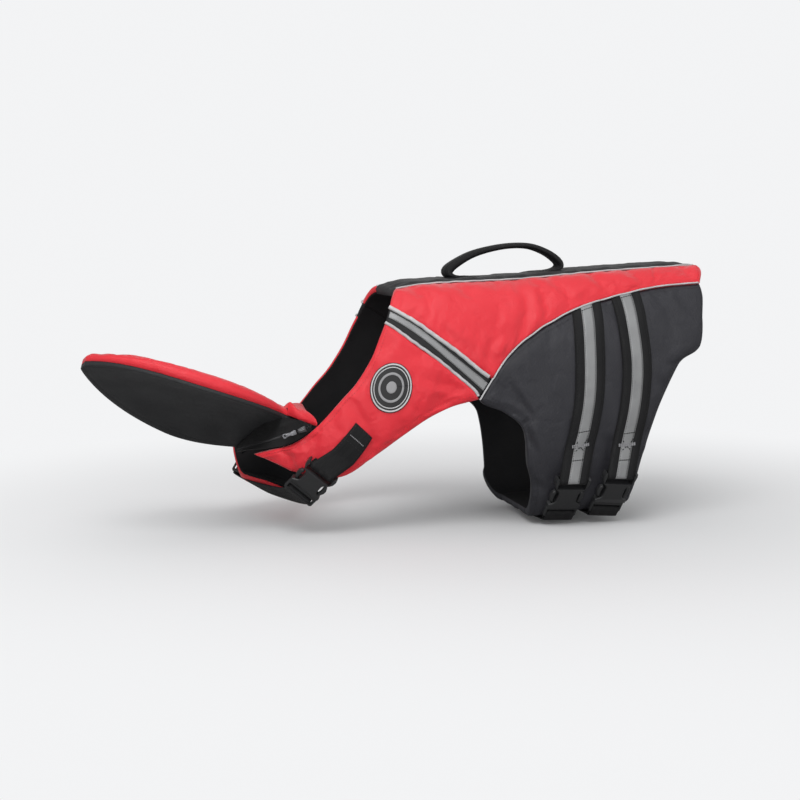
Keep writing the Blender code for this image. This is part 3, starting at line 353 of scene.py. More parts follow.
def makeWebbing(name):
    colour, deep, ribs = webbings[name]
    made, tree, shader, place = startMaterial(name)
    weave = placeGroup(tree, "ribs", {"Vector": flatOf(tree), "Ribs": ribs})
    worn = placeGroup(tree, "wear", {"Vector": place, "Size": 30.0})
    # painted shade: the valleys between the ribs are darkened towards the deep colour
    tone = blendOf(tree, maths(tree, "SUBTRACT", 1.0, weave["Height"]), colour, deep)
    tone = blendOf(tree, times(tree, worn["Scuff"], 0.4), tone, tuple(part * 1.6 + 0.012 for part in colour))
    finishShader(tree, shader, tone, (0.54, 0.18, worn["Patch"]),
                 [(worn["Patch"], 0.0004, 0.3), (weave["Height"], 0.00035, 0.9)],
                 {"Sheen Weight": 0.02, "Sheen Roughness": 0.5, "Specular IOR Level": 0.3})
    return made


silver = {"colour": (0.34, 0.345, 0.35), "deep": (0.27, 0.275, 0.28), "mesh": (0.20, 0.20, 0.205),
          "scuff": (0.16, 0.16, 0.165), "roughness": 0.36, "metal": 0.25, "spacing": 0.0011}


def makeReflective():
    # silver tape: glass beads on grey cloth, pressed with a fine slanting mesh
    made, tree, shader, place = startMaterial("reflectiveTape")
    turned = flatOf(tree, 0.785)
    mesh = placeGroup(tree, "grid", {"Vector": turned, "Spacing": silver["spacing"], "Width": 0.2})["Line"]
    worn = placeGroup(tree, "wear", {"Vector": place, "Size": 40.0})
    tone = blendOf(tree, worn["Patch"], silver["colour"], silver["deep"])
    tone = blendOf(tree, times(tree, mesh, 0.35), tone, silver["mesh"])
    tone = blendOf(tree, times(tree, worn["Scuff"], 0.5), tone, silver["scuff"])
    finishShader(tree, shader, tone, (silver["roughness"], 0.14, worn["Patch"]),
                 [(worn["Patch"], 0.0005, 0.3), (mesh, 0.0001, 0.6)],
                 {"Metallic": silver["metal"], "Specular IOR Level": 0.5})
    return made


cordLook = {"colour": (0.62, 0.62, 0.63), "deep": (0.46, 0.46, 0.47), "scuff": (0.28, 0.27, 0.27), "roughness": 0.34}


def makePiping():
    made, tree, shader, place = startMaterial("palePiping")
    worn = placeGroup(tree, "wear", {"Vector": place, "Size": 60.0})
    weave = placeGroup(tree, "weave", {"Vector": place, "Threads": 1500.0})
    tone = blendOf(tree, worn["Patch"], cordLook["colour"], cordLook["deep"])
    tone = blendOf(tree, times(tree, worn["Scuff"], 0.5), tone, cordLook["scuff"])
    finishShader(tree, shader, tone, (cordLook["roughness"], 0.2, worn["Patch"]),
                 [(worn["Patch"], 0.0005, 0.4), (weave["Height"], 0.0001, 0.5)], {"Specular IOR Level": 0.5})
    return made


moulded = {  # colour, colour of worn edges, roughness and metal
    "bucklePlastic": ((0.022, 0.0225, 0.024), (0.075, 0.076, 0.08), 0.40, 0.0),
    "badgeRubber": ((0.018, 0.018, 0.019), (0.05, 0.05, 0.052), 0.5, 0.0),
    "badgeRing": ((0.62, 0.62, 0.63), (0.75, 0.75, 0.76), 0.48, 0.0),
    "badgeGrey": ((0.34, 0.34, 0.35), (0.42, 0.42, 0.43), 0.48, 0.0),
    "zipMetal": ((0.035, 0.035, 0.038), (0.30, 0.30, 0.31), 0.32, 0.6),
    "zipSteel": ((0.14, 0.14, 0.15), (0.5, 0.5, 0.51), 0.42, 1.0),
    "zipCoil": ((0.020, 0.020, 0.022), (0.07, 0.07, 0.075), 0.35, 0.0),
    "blackThread": ((0.006, 0.006, 0.007), (0.02, 0.02, 0.022), 0.6, 0.0),
    "redThread": ((0.50, 0.014, 0.024), (0.7, 0.04, 0.05), 0.55, 0.0),
    "greyThread": ((0.26, 0.26, 0.27), (0.4, 0.4, 0.42), 0.55, 0.0),
}


def makeMoulded(name):
    # plastic, rubber, cast metal or thread: fine grain, scuffs and paler worn edges
    colour, pale, roughness, metallic = moulded[name]
    made, tree, shader, place = startMaterial(name)
    worn = placeGroup(tree, "wear", {"Vector": place, "Size": 45.0})
    edge = ranged(tree, put(tree, "NewGeometry").outputs["Pointiness"], 0.52, 0.60)
    tone = blendOf(tree, times(tree, worn["Scuff"], 0.5), colour, pale)
    tone = blendOf(tree, times(tree, edge, 0.35), tone, pale)
    finishShader(tree, shader, tone, (roughness - 0.06, 0.14, worn["Patch"]),
                 [(worn["Patch"], 0.0003, 0.15), (noise(tree, place, 1700.0, 2.0)[0], 0.00006, 0.5)],
                 {"Metallic": metallic, "Specular IOR Level": 0.5})
    return made


finishes = {**{name: makeCloth(name) for name in cloths}, **{name: makeWebbing(name) for name in webbings},
            "reflectiveTape": makeReflective(), "palePiping": makePiping(),
            **{name: makeMoulded(name) for name in moulded}}
print("materials are made")

# the body's form: x along the back in mm, and the angle round the body from the spine in degrees
bodySections = {
    "x": (-345, -325, -290, -240, -180, -150, -110, 0, 110, 260),
    "top": (-150, -120, -85, -45, -18, -11, -5, 0, 9, 18),
    "bottom": (-224, -232, -238, -256, -273, -275, -276, -274, -266, -254),
    "half": (42, 60, 77, 90, 98, 100, 102, 102, 101, 97),
    "centre": (30, 20, 8, 0, 0, 0, 0, 0, 0, 0),
}
# angles of the seams, the half width of the flat back as a share, and degrees of the curve to each degree round
seams = {"spine": 30, "side": 90, "belly": 150, "back": 0.57, "bend": 1.5}
bodyAxis = np.array((30.0, 0.0, -130.0))
perDegree = 1.9  # mm of cloth to a degree round the body, in the flat cuts
rims = ("top", "bottom", "front", "rear")


def signOf(side):
    return -1 if side == "left" else 1


def column(name, x):
    # smooth curve through one row of the body's sections
    place, value = (np.array(bodySections[key], float) for key in ("x", name))
    x = np.clip(x, place[0], place[-1])
    low = np.clip(np.searchsorted(place, x, side="left") - 1, 0, len(place) - 2)
    before, high, after = np.maximum(low - 1, 0), low + 1, np.minimum(low + 2, len(place) - 1)
    span = place[high] - place[low]
    t = (x - place[low]) / span
    slopeLow = (value[high] - value[before]) / (place[high] - place[before]) * span
    slopeHigh = (value[after] - value[low]) / (place[after] - place[low]) * span
    return ((2 * t**3 - 3 * t**2 + 1) * value[low] + (t**3 - 2 * t**2 + t) * slopeLow
            + (3 * t**2 - 2 * t**3) * value[high] + (t**3 - t**2) * slopeHigh)


def bodySurface(x, angle):
    spine, side, belly, back, bend = seams.values()
    angle = np.where(angle > 180, angle - 360, angle)
    turn = np.abs(angle)
    upper, lower = np.radians((turn - spine) * bend), np.radians((turn - side) * bend)
    parts = [turn <= spine, turn <= side, turn <= belly]
    across = np.select(parts, [back * turn / spine, back + (1 - back) * np.sin(upper), 0.5 + 0.5 * np.cos(lower)],
                       0.5 * (180 - turn) / (180 - belly))
    up = np.select(parts, [np.ones_like(turn), np.cos(upper), -np.sin(lower)], -1.0)
    top, bottom = column("top", x), column("bottom", x)
    y = column("centre", x) + np.copysign(across * column("half", x), angle)
    return np.stack(np.broadcast_arrays(x, y, (top + bottom) / 2 + up * (top - bottom) / 2), -1)


def bodyFrame(x, angle):
    # points of the inner surface and the directions square to it
    x, angle = np.asarray(x, float), np.asarray(angle, float)
    along = bodySurface(x + 0.5, angle) - bodySurface(x - 0.5, angle)
    around = bodySurface(x, angle + 1.0) - bodySurface(x, angle - 1.0)
    outward = np.cross(along, around)
    return bodySurface(x, angle), outward / np.linalg.norm(outward, axis=-1, keepdims=True)


def bodyPoint(x, angle, lift=0.0):
    base, outward = bodyFrame(x, angle)
    return base + outward * np.asarray(lift, float)[..., None]


def atHeight(places):
    # x and angle of places that are given in side view
    places = np.asarray(places, float)
    x, z = places[:, 0], places[:, 1]
    top, bottom = column("top", x), column("bottom", x)
    up = np.clip((z - (top + bottom) / 2) / ((top - bottom) / 2), -1, 1)
    angle = np.where(up >= 0, seams["spine"] + np.degrees(np.arccos(np.abs(up))) / seams["bend"],
                     seams["side"] + np.degrees(np.arcsin(np.abs(up))) / seams["bend"])
    return np.stack((x, angle), -1)


def lengthsOf(points):
    return np.concatenate(([0.0], np.cumsum(np.linalg.norm(np.diff(points, axis=0), axis=1))))


def pointAt(where, lengths, points):
    return np.stack([np.interp(where, lengths, points[:, n]) for n in range(points.shape[1])], -1)


def spread(points, count):
    # count + 1 points at even steps along a smooth curve through the given points
    points = np.asarray(points, float)
    curve = []
    for i in range(len(points) - 1):
        a, b, c, d = points[max(i - 1, 0)], points[i], points[i + 1], points[min(i + 2, len(points) - 1)]
        for t in np.arange(12) / 12:
            curve.append(0.5 * (2 * b + (c - a) * t + (2 * a - 5 * b + 4 * c - d) * t**2
                                + (3 * b - a - 3 * c + d) * t**3))
    curve = np.array(curve + [points[-1]])
    lengths = lengthsOf(curve)
    return pointAt(np.linspace(0, lengths[-1], count + 1), lengths, curve)


def fillPatch(first, last, start, finish):
    # grid between four edges, rows from first to last
    u = np.linspace(0, 1, len(first))[None, :, None]
    v = np.linspace(0, 1, len(start))[:, None, None]
    return ((1 - v) * first[None] + v * last[None] + (1 - u) * start[:, None] + u * finish[:, None]
            - (1 - u) * (1 - v) * first[0] - u * (1 - v) * first[-1] - (1 - u) * v * last[0] - u * v * last[-1])


flapFront = [(-60.5, -130.5), (-52, -138), (-29, -147), (-8, -163), (-1.5, -180), (2, -209)]
cut = {  # outlines in side view as x and height, the two ends of a wing as x and angle
    "bandTop": [(-162, -26.5), (-156, -29.5), (-133, -42), (-111.5, -57.5), (-87.5, -74.5), (-70, -88.5),
                (-58.8, -97.5), (-45, -107)],
    "bandBottom": [(-168.5, -42.5), (-156.5, -50), (-133.6, -66.4), (-111.9, -82), (-87.9, -101.4),
                   (-70.8, -115.5), (-64.5, -122), (-60.5, -130.5)],
    "seam": [(-45, -108), (-30, -87), (-14, -71), (13, -52.5), (40, -38.5), (66, -27.5), (94, -19.5),
             (135, -10.5), (173, -4.2), (227, 0)],
    "neck": [(-168.5, -43.5), (-175, -57), (-186, -81), (-204, -109), (-224, -131), (-250, -160)],
    "zipLeft": [(-268, -175), (-286, -184), (-316, -194)],
    "zipRight": [(-276, -176), (-302, -188), (-330, -199)],
    "leg": [(-60.5, -130.5), (-76, -134), (-95, -139), (-121, -151), (-147, -168), (-171, -185), (-192, -200),
            (-221, -217)],
    "flapFrontLeft": [*flapFront, (11, -240)], "flapFrontRight": [*flapFront, (2, -238), (0, -253)],
    "flapRear": [(227, 0), (229, -13), (226, -37), (223, -66), (216, -78), (198, -88), (188.5, -100),
                 (171, -135), (161, -162), (153, -191), (147, -225)],
    "legEndLeft": [(-250, 116.5), (-277, 116)], "legEndRight": [(-237, 126), (-254, 158), (-274, 196)],
    "frontLeft": [(-296, 111)], "frontRight": [(-329, 116), (-323, 142), (-312, 162), (-292, 182)],
    "spine": (-150, 234), "upperRear": (233.5, 40), "belly": (15, 142),
}
cells = {"band": 7, "bandRows": 2, "seam": 12, "upper": 4, "wing": 11, "wingEnd": 7, "flap": 10, "spine": 6, "belly": 8}
sides = ("left", "right")


def garmentGrids():
    made = {key: atHeight(spread(cut[key], cells["band"] * fine)) for key in ("bandTop", "bandBottom")}
    bandTop, bandBottom = made["bandTop"], made["bandBottom"]
    seam = atHeight(spread(cut["seam"], cells["seam"] * fine))
    seam[0] = bandTop[-1]
    columns = (cells["band"] + cells["seam"]) * fine
    spine = np.stack((np.linspace(*cut["spine"], columns + 1), np.full(columns + 1, seams["spine"])), -1)
    made["upper"] = fillPatch(spine, np.concatenate((bandTop, seam[1:])),
                              spread([spine[0], bandTop[0]], cells["upper"] * fine),
                              spread([spine[-1], cut["upperRear"], seam[-1]], cells["upper"] * fine))
    share = np.linspace(0, 1, cells["bandRows"] * fine + 1)[:, None, None]
    made["band"] = bandTop[None] + (bandBottom - bandTop)[None] * share
    share = np.linspace(0, 1, fine + 1)[:-1, None]
    flapTop = np.concatenate((bandBottom[-1] + (seam[0] - bandBottom[-1]) * share, seam))
    belly = np.stack((np.linspace(*cut["belly"], len(flapTop)), np.full(len(flapTop), seams["belly"])), -1)
    for side in ("Left", "Right"):
        neck = spread(atHeight(cut["neck"] + cut["zip" + side]), cells["wing"] * fine)
        leg = spread(np.concatenate((atHeight(cut["leg"]), cut["legEnd" + side])), cells["wing"] * fine)
        end = spread(np.concatenate((neck[-1:], cut["front" + side], leg[-1:])), cells["wingEnd"] * fine)
        made["wing" + side] = fillPatch(neck, leg, bandBottom, end)
        ends = [spread(np.concatenate((atHeight(cut[key]), corner)), cells["flap"] * fine)
                for key, corner in (("flapFront" + side, belly[:1]), ("flapRear", belly[-1:]))]
        made["flap" + side] = fillPatch(flapTop, belly, *ends)
    return {**made, "spine": spine, "seam": seam}


grids = garmentGrids()


def ripple(s, length, seed):
    # uneven wave of about one along a line, with that wave length
    dice = np.random.default_rng(seed)
    total = np.zeros_like(s)
    for _ in range(5):
        total += np.sin(s / length * 2 * math.pi * dice.uniform(0.6, 1.5) + dice.uniform(0, 6.3))
    return total / 2.6


def swell(flat, length, seed):
    # the same over a flat cut
    dice = np.random.default_rng(seed)
    total = np.zeros_like(flat[..., 0])
    for _ in range(7):
        turn = dice.uniform(0, math.pi)
        wave = (flat[..., 0] * math.cos(turn) + flat[..., 1] * math.sin(turn)) / length * dice.uniform(0.7, 1.5)
        total += np.sin(2 * math.pi * wave + dice.uniform(0, 6.3))
    return total / 3.2


def bump(distance, width):
    return np.exp(-(distance / width)**2)


# how much deeper creases are than their tables say, how much wider, and the low banks beside each
crease = {"gain": 1.7, "wide": 1.2, "banks": [(0.30, 1.7), (0.12, -1.8)]}


def creaseDepth(points, creases, shift=(0.0, 0.0)):
    # how far creases lower a surface: each is a line in columns and rows of the main render, a depth in mm and a
    # half width in pixels
    x, y = pixelOf(points)
    x, y = x + shift[0], y + shift[1]
    total = np.zeros_like(x)
    for line, depth, width in creases:
        line = np.asarray(line, float)
        best = np.full_like(x, 1e9)
        side, run = np.zeros_like(x), np.zeros_like(x)
        for k, (a, b) in enumerate(zip(line, line[1:])):
            d = b - a
            t = ((x - a[0]) * d[0] + (y - a[1]) * d[1]) / (d @ d)
            near = np.clip(t, 0, 1)
            gap = np.hypot(x - a[0] - near * d[0], y - a[1] - near * d[1])
            closer = gap < best
            best = np.where(closer, gap, best)
            side = np.where(closer, np.sign((x - a[0]) * d[1] - (y - a[1]) * d[0]), side)
            run = np.where(closer, (k + near) / (len(line) - 1), run)
        q = best * side / (width * crease["wide"])
        taper = np.sqrt(np.clip(np.sin(math.pi * np.clip(run, 0.04, 0.96)), 0, 1))
        banks = sum(height * bump(q - at, 1.0) for height, at in crease["banks"])
        total += depth * crease["gain"] * taper * (bump(q, 1.0) - banks)
    return total


def normalsOf(points):
    # directions square to a grid of points
    square = np.cross(np.gradient(points, axis=1), np.gradient(points, axis=0))
    size = np.linalg.norm(square, axis=-1, keepdims=True)
    return square / np.maximum(size, 1e-9)


def runs(points):
    # distances from the four rims of a grid, and along them
    along = np.concatenate((np.zeros_like(points[:, :1, 0]),
                            np.cumsum(np.linalg.norm(np.diff(points, axis=1), axis=-1), axis=1)), 1)
    down = np.concatenate((np.zeros_like(points[:1, :, 0]),
                           np.cumsum(np.linalg.norm(np.diff(points, axis=0), axis=-1), axis=0)), 0)
    return {"top": down, "bottom": down[-1:] - down, "front": along, "rear": along[:, -1:] - along,
            "s": {"top": along, "bottom": along, "front": down, "rear": down}}


def nearest(away):
    return np.minimum.reduce([away[key] for key in rims])


def domed(reach, want):
    # share of the way up from the rim, and the height there of a padded panel
    t = np.clip(reach / want["soft"], 0, 1)
    return t, want["rim"] + (want["thick"] - want["rim"]) * np.sqrt(1 - (1 - t)**2)


def flatCut(grid):
    return np.stack((grid[..., 0], grid[..., 1] * perDegree), -1)


def dress(name, mesh, finish, nodes=(), body="jacket"):
    # puts a mesh in the scene with its finish, its body and the CAD nodes that it stands for
    mesh.materials.append(finishes[finish])
    piece = bpy.data.objects.new(name, mesh)
    scene.collection.objects.link(piece)
    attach(piece, body)
    if nodes:
        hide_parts(*nodes)
    return piece


def lifted(shape, height):
    # closes the faces with a copy of them at that height
    made = bmesh.ops.extrude_face_region(shape, geom=shape.faces[:], use_keep_orig=True)
    top = [item for item in made["geom"] if isinstance(item, bmesh.types.BMVert)]
    bmesh.ops.translate(shape, verts=top, vec=(0, 0, height))


def facingOut(shape):
    bmesh.ops.recalc_face_normals(shape, faces=shape.faces)
    if shape.calc_volume(signed=True) < 0:
        bmesh.ops.reverse_faces(shape, faces=shape.faces)


def cellOf(co, columns, rows):
    # column and row of each vertex of a fresh grid
    return (np.rint((co[:, n] + 0.5) * count).astype(int) for n, count in ((0, columns), (1, rows)))


def slab(name, inner, outer, flat, finish, nodes=(), back=None, backWalls=()):
    # closed sheet between two grids of points in mm, with the cloth's flat cut as its UV map; back is the finish
    # of its inner face and of the end walls named in backWalls
    rows, columns = inner.shape[0] - 1, inner.shape[1] - 1
    shape = bmesh.new()
    bmesh.ops.create_grid(shape, x_segments=columns, y_segments=rows, size=0.5)
    lifted(shape, 1)
    shape.verts.index_update()
    co = np.array([vert.co for vert in shape.verts])
    i, j = cellOf(co, columns, rows)
    places = np.where((co[:, 2] > 0.5)[:, None], outer[j, i], inner[j, i]) * mm
    for vert, place in zip(shape.verts, places):
        vert.co = place
    if back:
        within = co[:, 2] < 0.5
        for wall in backWalls:
            within |= {"front": i == 0, "rear": i == columns, "top": j == 0, "bottom": j == rows}[wall]
        for face in shape.faces:
            if all(within[vert.index] for vert in face.verts):
                face.material_index = 1
    facingOut(shape)
    mesh = meshOf(shape, name)
    corner = np.zeros(len(mesh.loops), int)
    mesh.loops.foreach_get("vertex_index", corner)
    layer = mesh.uv_layers.new(name="cut")
    layer.data.foreach_set("uv", (flat[j, i][corner] * mm).astype(np.float32).ravel())
    mesh.shade_smooth()
    piece = dress(name, mesh, finish, nodes)
    if back:
        mesh.materials.append(finishes[back])
    return piece


# cloth over padding: pressure from inside with the rim held, on every second row and column; spare is the cloth
# that it may gain, cap the most that it may move in mm and share how much of that is kept
cushion = {"pressure": 4.0, "frames": 20, "spare": 0.030, "cap": 3.2, "share": 0.8, "mass": 0.15, "quality": 4,
           "tension": 12.0, "shear": 4.0, "bending": 0.12, "damping": 3.0}


def puffedOut(outer, inside, cap=None):
    # the outer grid after the padding has pushed the cloth outwards; inside is a point in mm behind it
    rows, columns = outer.shape[0], outer.shape[1]
    j, i = (np.unique(np.append(np.arange(0, n, 2), n - 1)) for n in (rows, columns))
    coarse = outer[np.ix_(j, i)]
    shape = bmesh.new()
    bmesh.ops.create_grid(shape, x_segments=len(i) - 1, y_segments=len(j) - 1, size=0.5)
    co = np.array([vert.co for vert in shape.verts])
    a, b = cellOf(co, len(i) - 1, len(j) - 1)
    for vert, place in zip(shape.verts, coarse[b, a] * mm):
        vert.co = place
    shape.normal_update()
    if sum(face.normal.dot(face.calc_center_median() - Vector(inside) * mm) for face in shape.faces) < 0:
        bmesh.ops.reverse_faces(shape, faces=shape.faces)
    cloth = bpy.data.objects.new("cloth", meshOf(shape, "cloth"))
    scene.collection.objects.link(cloth)
    held = cloth.vertex_groups.new(name="held")
    rim = (a == 0) | (b == 0) | (a == len(i) - 1) | (b == len(j) - 1)
    held.add([int(k) for k in np.nonzero(rim)[0]], 1.0, "REPLACE")
    sim = cloth.modifiers.new("pressure", "CLOTH")
    wanted = {"quality": cushion["quality"], "mass": cushion["mass"], "use_pressure": True,
              "uniform_pressure_force": cushion["pressure"], "tension_stiffness": cushion["tension"],
              "compression_stiffness": cushion["tension"], "shear_stiffness": cushion["shear"],
              "bending_stiffness": cushion["bending"], "shrink_min": -cushion["spare"],
              "vertex_group_mass": "held", "air_damping": cushion["damping"]}
    for label, value in wanted.items():
        setattr(sim.settings, label, value)
    sim.settings.effector_weights.gravity = 0.0
    sim.collision_settings.use_collision = False
    for step in range(1, cushion["frames"] + 1):
        scene.frame_set(step)
    solved = cloth.evaluated_get(bpy.context.evaluated_depsgraph_get()).data
    after = np.zeros(len(co) * 3)
    solved.vertices.foreach_get("co", after)
    moved = np.zeros_like(coarse)
    moved[b, a] = after.reshape(-1, 3) / mm - coarse[b, a]
    scene.frame_set(1)
    bpy.data.objects.remove(cloth, do_unlink=True)
    size = np.linalg.norm(moved, axis=-1, keepdims=True)
    moved *= np.minimum(1.0, (cap or cushion["cap"]) / np.maximum(size, 1e-6)) * cushion["share"]
    full = np.array([pointAt(np.arange(columns), i, row) for row in moved])
    full = np.array([pointAt(np.arange(rows), j, line) for line in full.swapaxes(0, 1)]).swapaxes(0, 1)
    for axis in (0, 1):  # rounds the corners that the coarse rows leave
        full[1:-1, 1:-1] = (0.5 * full + 0.25 * (np.roll(full, 1, axis) + np.roll(full, -1, axis)))[1:-1, 1:-1]
    return outer + full


def drawnIn(points, gap=0.35):
    # the same grid with its rim moved inwards, clear of the next panel
    moved = points.copy()
    for rim, inside in (((slice(None), 0), (slice(None), 1)), ((slice(None), -1), (slice(None), -2)),
                        ((0, slice(None)), (1, slice(None))), ((-1, slice(None)), (-2, slice(None)))):
        way = points[inside] - points[rim]
        moved[rim] += way / np.maximum(np.linalg.norm(way, axis=-1, keepdims=True), 1e-6) * gap
    return moved


panels = {}  # each panel's outer points and distances from its rims, or a band's middle, for what is sewn on it
padding = {"groove": 1.6, "calm": 12.0, "wave": 46.0, "least": 2.0, "rightShift": (7.0, 3.0), "rightShare": 0.8,
           "backing": "liningMesh", "lift": 2.1}  # lift is the lining's room, in mm


def padPanel(name, grid, side, inner, want, nodes):
    # padded panel on the body from a grid of x and angle
    base, outward = bodyFrame(grid[..., 0], grid[..., 1] * signOf(side))
    base = drawnIn(base)
    away = runs(base)
    reach = nearest(away)
    _, height = domed(reach, want)
    for key, depth, length, far in want["puckers"]:
        s, d = away["s"][key], away[key]
        wave = ripple(s, length, want["seed"] + len(key)) * (0.6 + 0.4 * ripple(s, length * 6, want["seed"] + 3))
        height += depth * wave * np.exp(-d / far) * np.clip(d / 3.0, 0, 1)
    for key, at, depth in want.get("grooves", ()):
        height -= depth * bump(away[key] - at, padding["groove"])
    flat = flatCut(grid)
    height += want["swell"] * swell(flat, padding["wave"], want["seed"]) * np.clip(reach / padding["calm"], 0, 1)
    mirror, shift, strength = (1, 1, 1), (0.0, 0.0), 1.0
    if side == "right":  # its creases mirror the left's, a little moved and softer
        mirror, shift, strength = (1, -1, 1), padding["rightShift"], padding["rightShare"]
    height -= strength * creaseDepth(base * np.array(mirror), want["creases"], shift) * np.clip(reach / 5.0, 0, 1)
    outer = base + outward * (inner + np.maximum(height, padding["least"]))[..., None]
    if want.get("cloth", True):
        outer = puffedOut(outer, (outer.reshape(-1, 3).mean(0)[0], 0.0, -135.0))
    piece = slab(name, base + outward * inner, outer, flat, want["finish"], nodes, back=padding["backing"])
    panels[name] = {"outer": outer, "away": runs(outer), "piece": piece}


# soft is how far in the padding reaches its full height; puckers are rim, depth, wave length and reach, grooves
# are rim, distance and depth, all in mm; creases are line in pixels, depth in mm and half width in pixels
upperSide = {
    "finish": "redOxford", "thick": 9.0, "rim": 6.2, "soft": 13.0, "fill": 0.5, "seed": 11, "swell": 0.35,
    "puckers": [("top", 0.35, 17.0, 12.0), ("bottom", 0.4, 14.0, 10.0), ("rear", 0.4, 12.0, 8.0)],
    "creases": [([(514, 290), (523, 302), (525, 316), (518, 330), (508, 340)], 2.2, 5.0),
                ([(503, 332), (488, 346), (486, 358), (497, 372)], 1.8, 4.0),
                ([(496, 312), (495, 324), (489, 336)], 0.9, 3.5),
                ([(582, 274), (592, 283), (604, 292)], 1.4, 3.6), ([(505, 279), (514, 284), (528, 287)], 1.0, 3.0),
                ([(540, 278), (550, 287), (566, 298)], 0.8, 4.0), ([(402, 290), (424, 301), (440, 312)], 0.8, 4.5),
                ([(452, 288), (470, 299), (492, 304)], 0.7, 5.0), ([(620, 272), (628, 279), (640, 284)], 0.8, 3.4),
                ([(652, 268), (653.5, 283)], 1.2, 1.7), ([(430, 322), (450, 340), (470, 354)], 0.8, 4.0),
                ([(463, 322), (476, 338), (482, 352)], 0.7, 4.0), ([(676, 266), (680, 275), (690, 280)], 0.7, 3.0)],
}
wing = {
    "finish": "redOxford", "thick": 9.0, "rim": 5.0, "soft": 11.0, "fill": 0.5, "seed": 23, "swell": 0.3,
    "puckers": [("front", 0.45, 15.0, 9.0), ("top", 0.25, 22.0, 8.0), ("bottom", 0.45, 18.0, 9.0)],
    "grooves": [("top", 6.5, 0.5), ("bottom", 7.0, 0.5)],
    "creases": [([(402, 352), (424, 366), (448, 384)], 1.0, 6.0), ([(417, 376), (436, 384), (462, 390)], 1.3, 5.0),
                ([(350, 408), (366, 424), (372, 446)], 1.0, 6.0), ([(300, 440), (316, 436), (334, 428)], 1.2, 5.0),
                ([(268, 457), (284, 452), (300, 456)], 1.0, 4.0), ([(330, 415), (345, 405), (352, 395)], 0.7, 6.0),
                ([(420, 410), (436, 404), (456, 400)], 0.8, 5.0)],
}
flap = {
    "finish": "charcoalRipstop", "thick": 11.0, "rim": 6.0, "soft": 12.0, "fill": 0.5, "seed": 37, "swell": 0.4,
    "puckers": [("top", 0.6, 11.0, 12.0), ("front", 0.5, 14.0, 9.0), ("rear", 0.4, 16.0, 8.0)],
    "grooves": [("front", 8.0, 0.6), ("top", 8.0, 0.35), ("rear", 7.0, 0.5)],
    "creases": [([(489, 408), (520, 424), (532, 450), (536, 482)], 1.6, 4.0),
                ([(478, 404), (500, 410), (524, 418)], 1.0, 4.0), ([(556, 400), (570, 430), (572, 462)], 0.7, 6.0),
                ([(600, 410), (606, 436), (604, 462)], 1.2, 5.0), ([(596, 432), (608, 441), (618, 446)], 0.9, 4.0),
                ([(660, 300), (668, 330), (664, 360)], 1.1, 6.0), ([(676, 320), (684, 336), (694, 344)], 0.9, 5.0),
                ([(655, 380), (668, 392), (676, 404)], 0.8, 5.0), ([(520, 362), (534, 386), (540, 404)], 0.7, 6.0)],
}
band = {"finish": "blackOxford", "cloth": False, "thick": 6.5, "rim": 5.0, "soft": 4.0, "fill": 0.6, "seed": 41,
        "swell": 0.1, "puckers": [("top", 0.15, 9.0, 4.0), ("bottom", 0.15, 9.0, 4.0)], "creases": []}


def makeSidePanels(side):
    for name, node, grid, inner, want in (
        ("upperSide_", "upper_side_", grids["upper"], padding["lift"], upperSide),
        ("chestWing_", "chest_wing_", grids["wing" + side.capitalize()], padding["lift"], wing),
        ("bellyFlap_", "belly_flap_", grids["flap" + side.capitalize()], 0.0, flap),
        ("shoulderBand_", "shoulder_band_", grids["band"], padding["lift"], band),
    ):
        padPanel(name + side, grid, side, inner, want, [node + side])


# flat cut and area of what shows, in metres
lining = {"thick": 1.5, "sag": 0.5, "upperleft": ((0.40, 0.12), 0.024), "upperright": ((0.40, 0.12), 0.024),
          "wingleft": ((0.27, 0.16), 0.021), "wingright": ((0.30, 0.18), 0.028)}


def makeLining(side):
    share = np.linspace(0, 1, fine + 1)[:-1][None, :, None]
    top, bottom = grids["bandTop"][:, None], grids["bandBottom"][:, None]
    whole = np.concatenate((top + (bottom - top) * share, grids["wing" + side.capitalize()]), 1)
    for part, grid in (("upper", grids["upper"]), ("wing", whole)):
        base, outward = bodyFrame(grid[..., 0], grid[..., 1] * signOf(side))
        base = drawnIn(base)
        sag = lining["sag"] * swell(flatCut(grid), 38.0, 5) * np.clip(nearest(runs(base)) / 15, 0, 1)
        inside = base + outward * np.minimum(sag - 0.2, 0.4)[..., None]
        piece = slab("lining" + part.capitalize() + "_" + side, inside, base + outward * lining["thick"],
                     flatCut(grid), "liningMesh", ["lining_" + part + "_" + side])


spinePanel = {
    "run": "spine", "columns": cells["band"] + cells["seam"], "rows": cells["spine"], "angles": (-30, 30),
    "finish": "blackOxford", "thick": 11.0, "rim": 6.5, "soft": 11.0, "fill": 0.55, "inside": (45.0, 0.0, -100.0),
    "roll": 11.3, "rollAt": (12, 14), "rollSide": 14.0, "pucker": (0.5, 16.0, 12), "wave": (0.5, 40.0, 51),
    "channels": (-78.0, 84.0), "channel": (1.2, 2.2),  # sewn across under the handle's feet: depth and half width
    "creases": [([(395, 286), (420, 280), (440, 281)], 0.8, 4.0), ([(620, 266), (640, 264), (660, 265)], 0.8, 3.0)],
}
bellyPanel = {
    "run": "belly", "columns": cells["belly"], "rows": cells["spine"], "angles": (150, 210),
    "finish": "charcoalRipstop", "thick": 11.0, "rim": 6.0, "soft": 12.0, "fill": 0.5,
    "inside": (80.0, 0.0, -135.0), "wave": (0.5, 36.0, 61), "grooves": [(0.6, 8)],
}


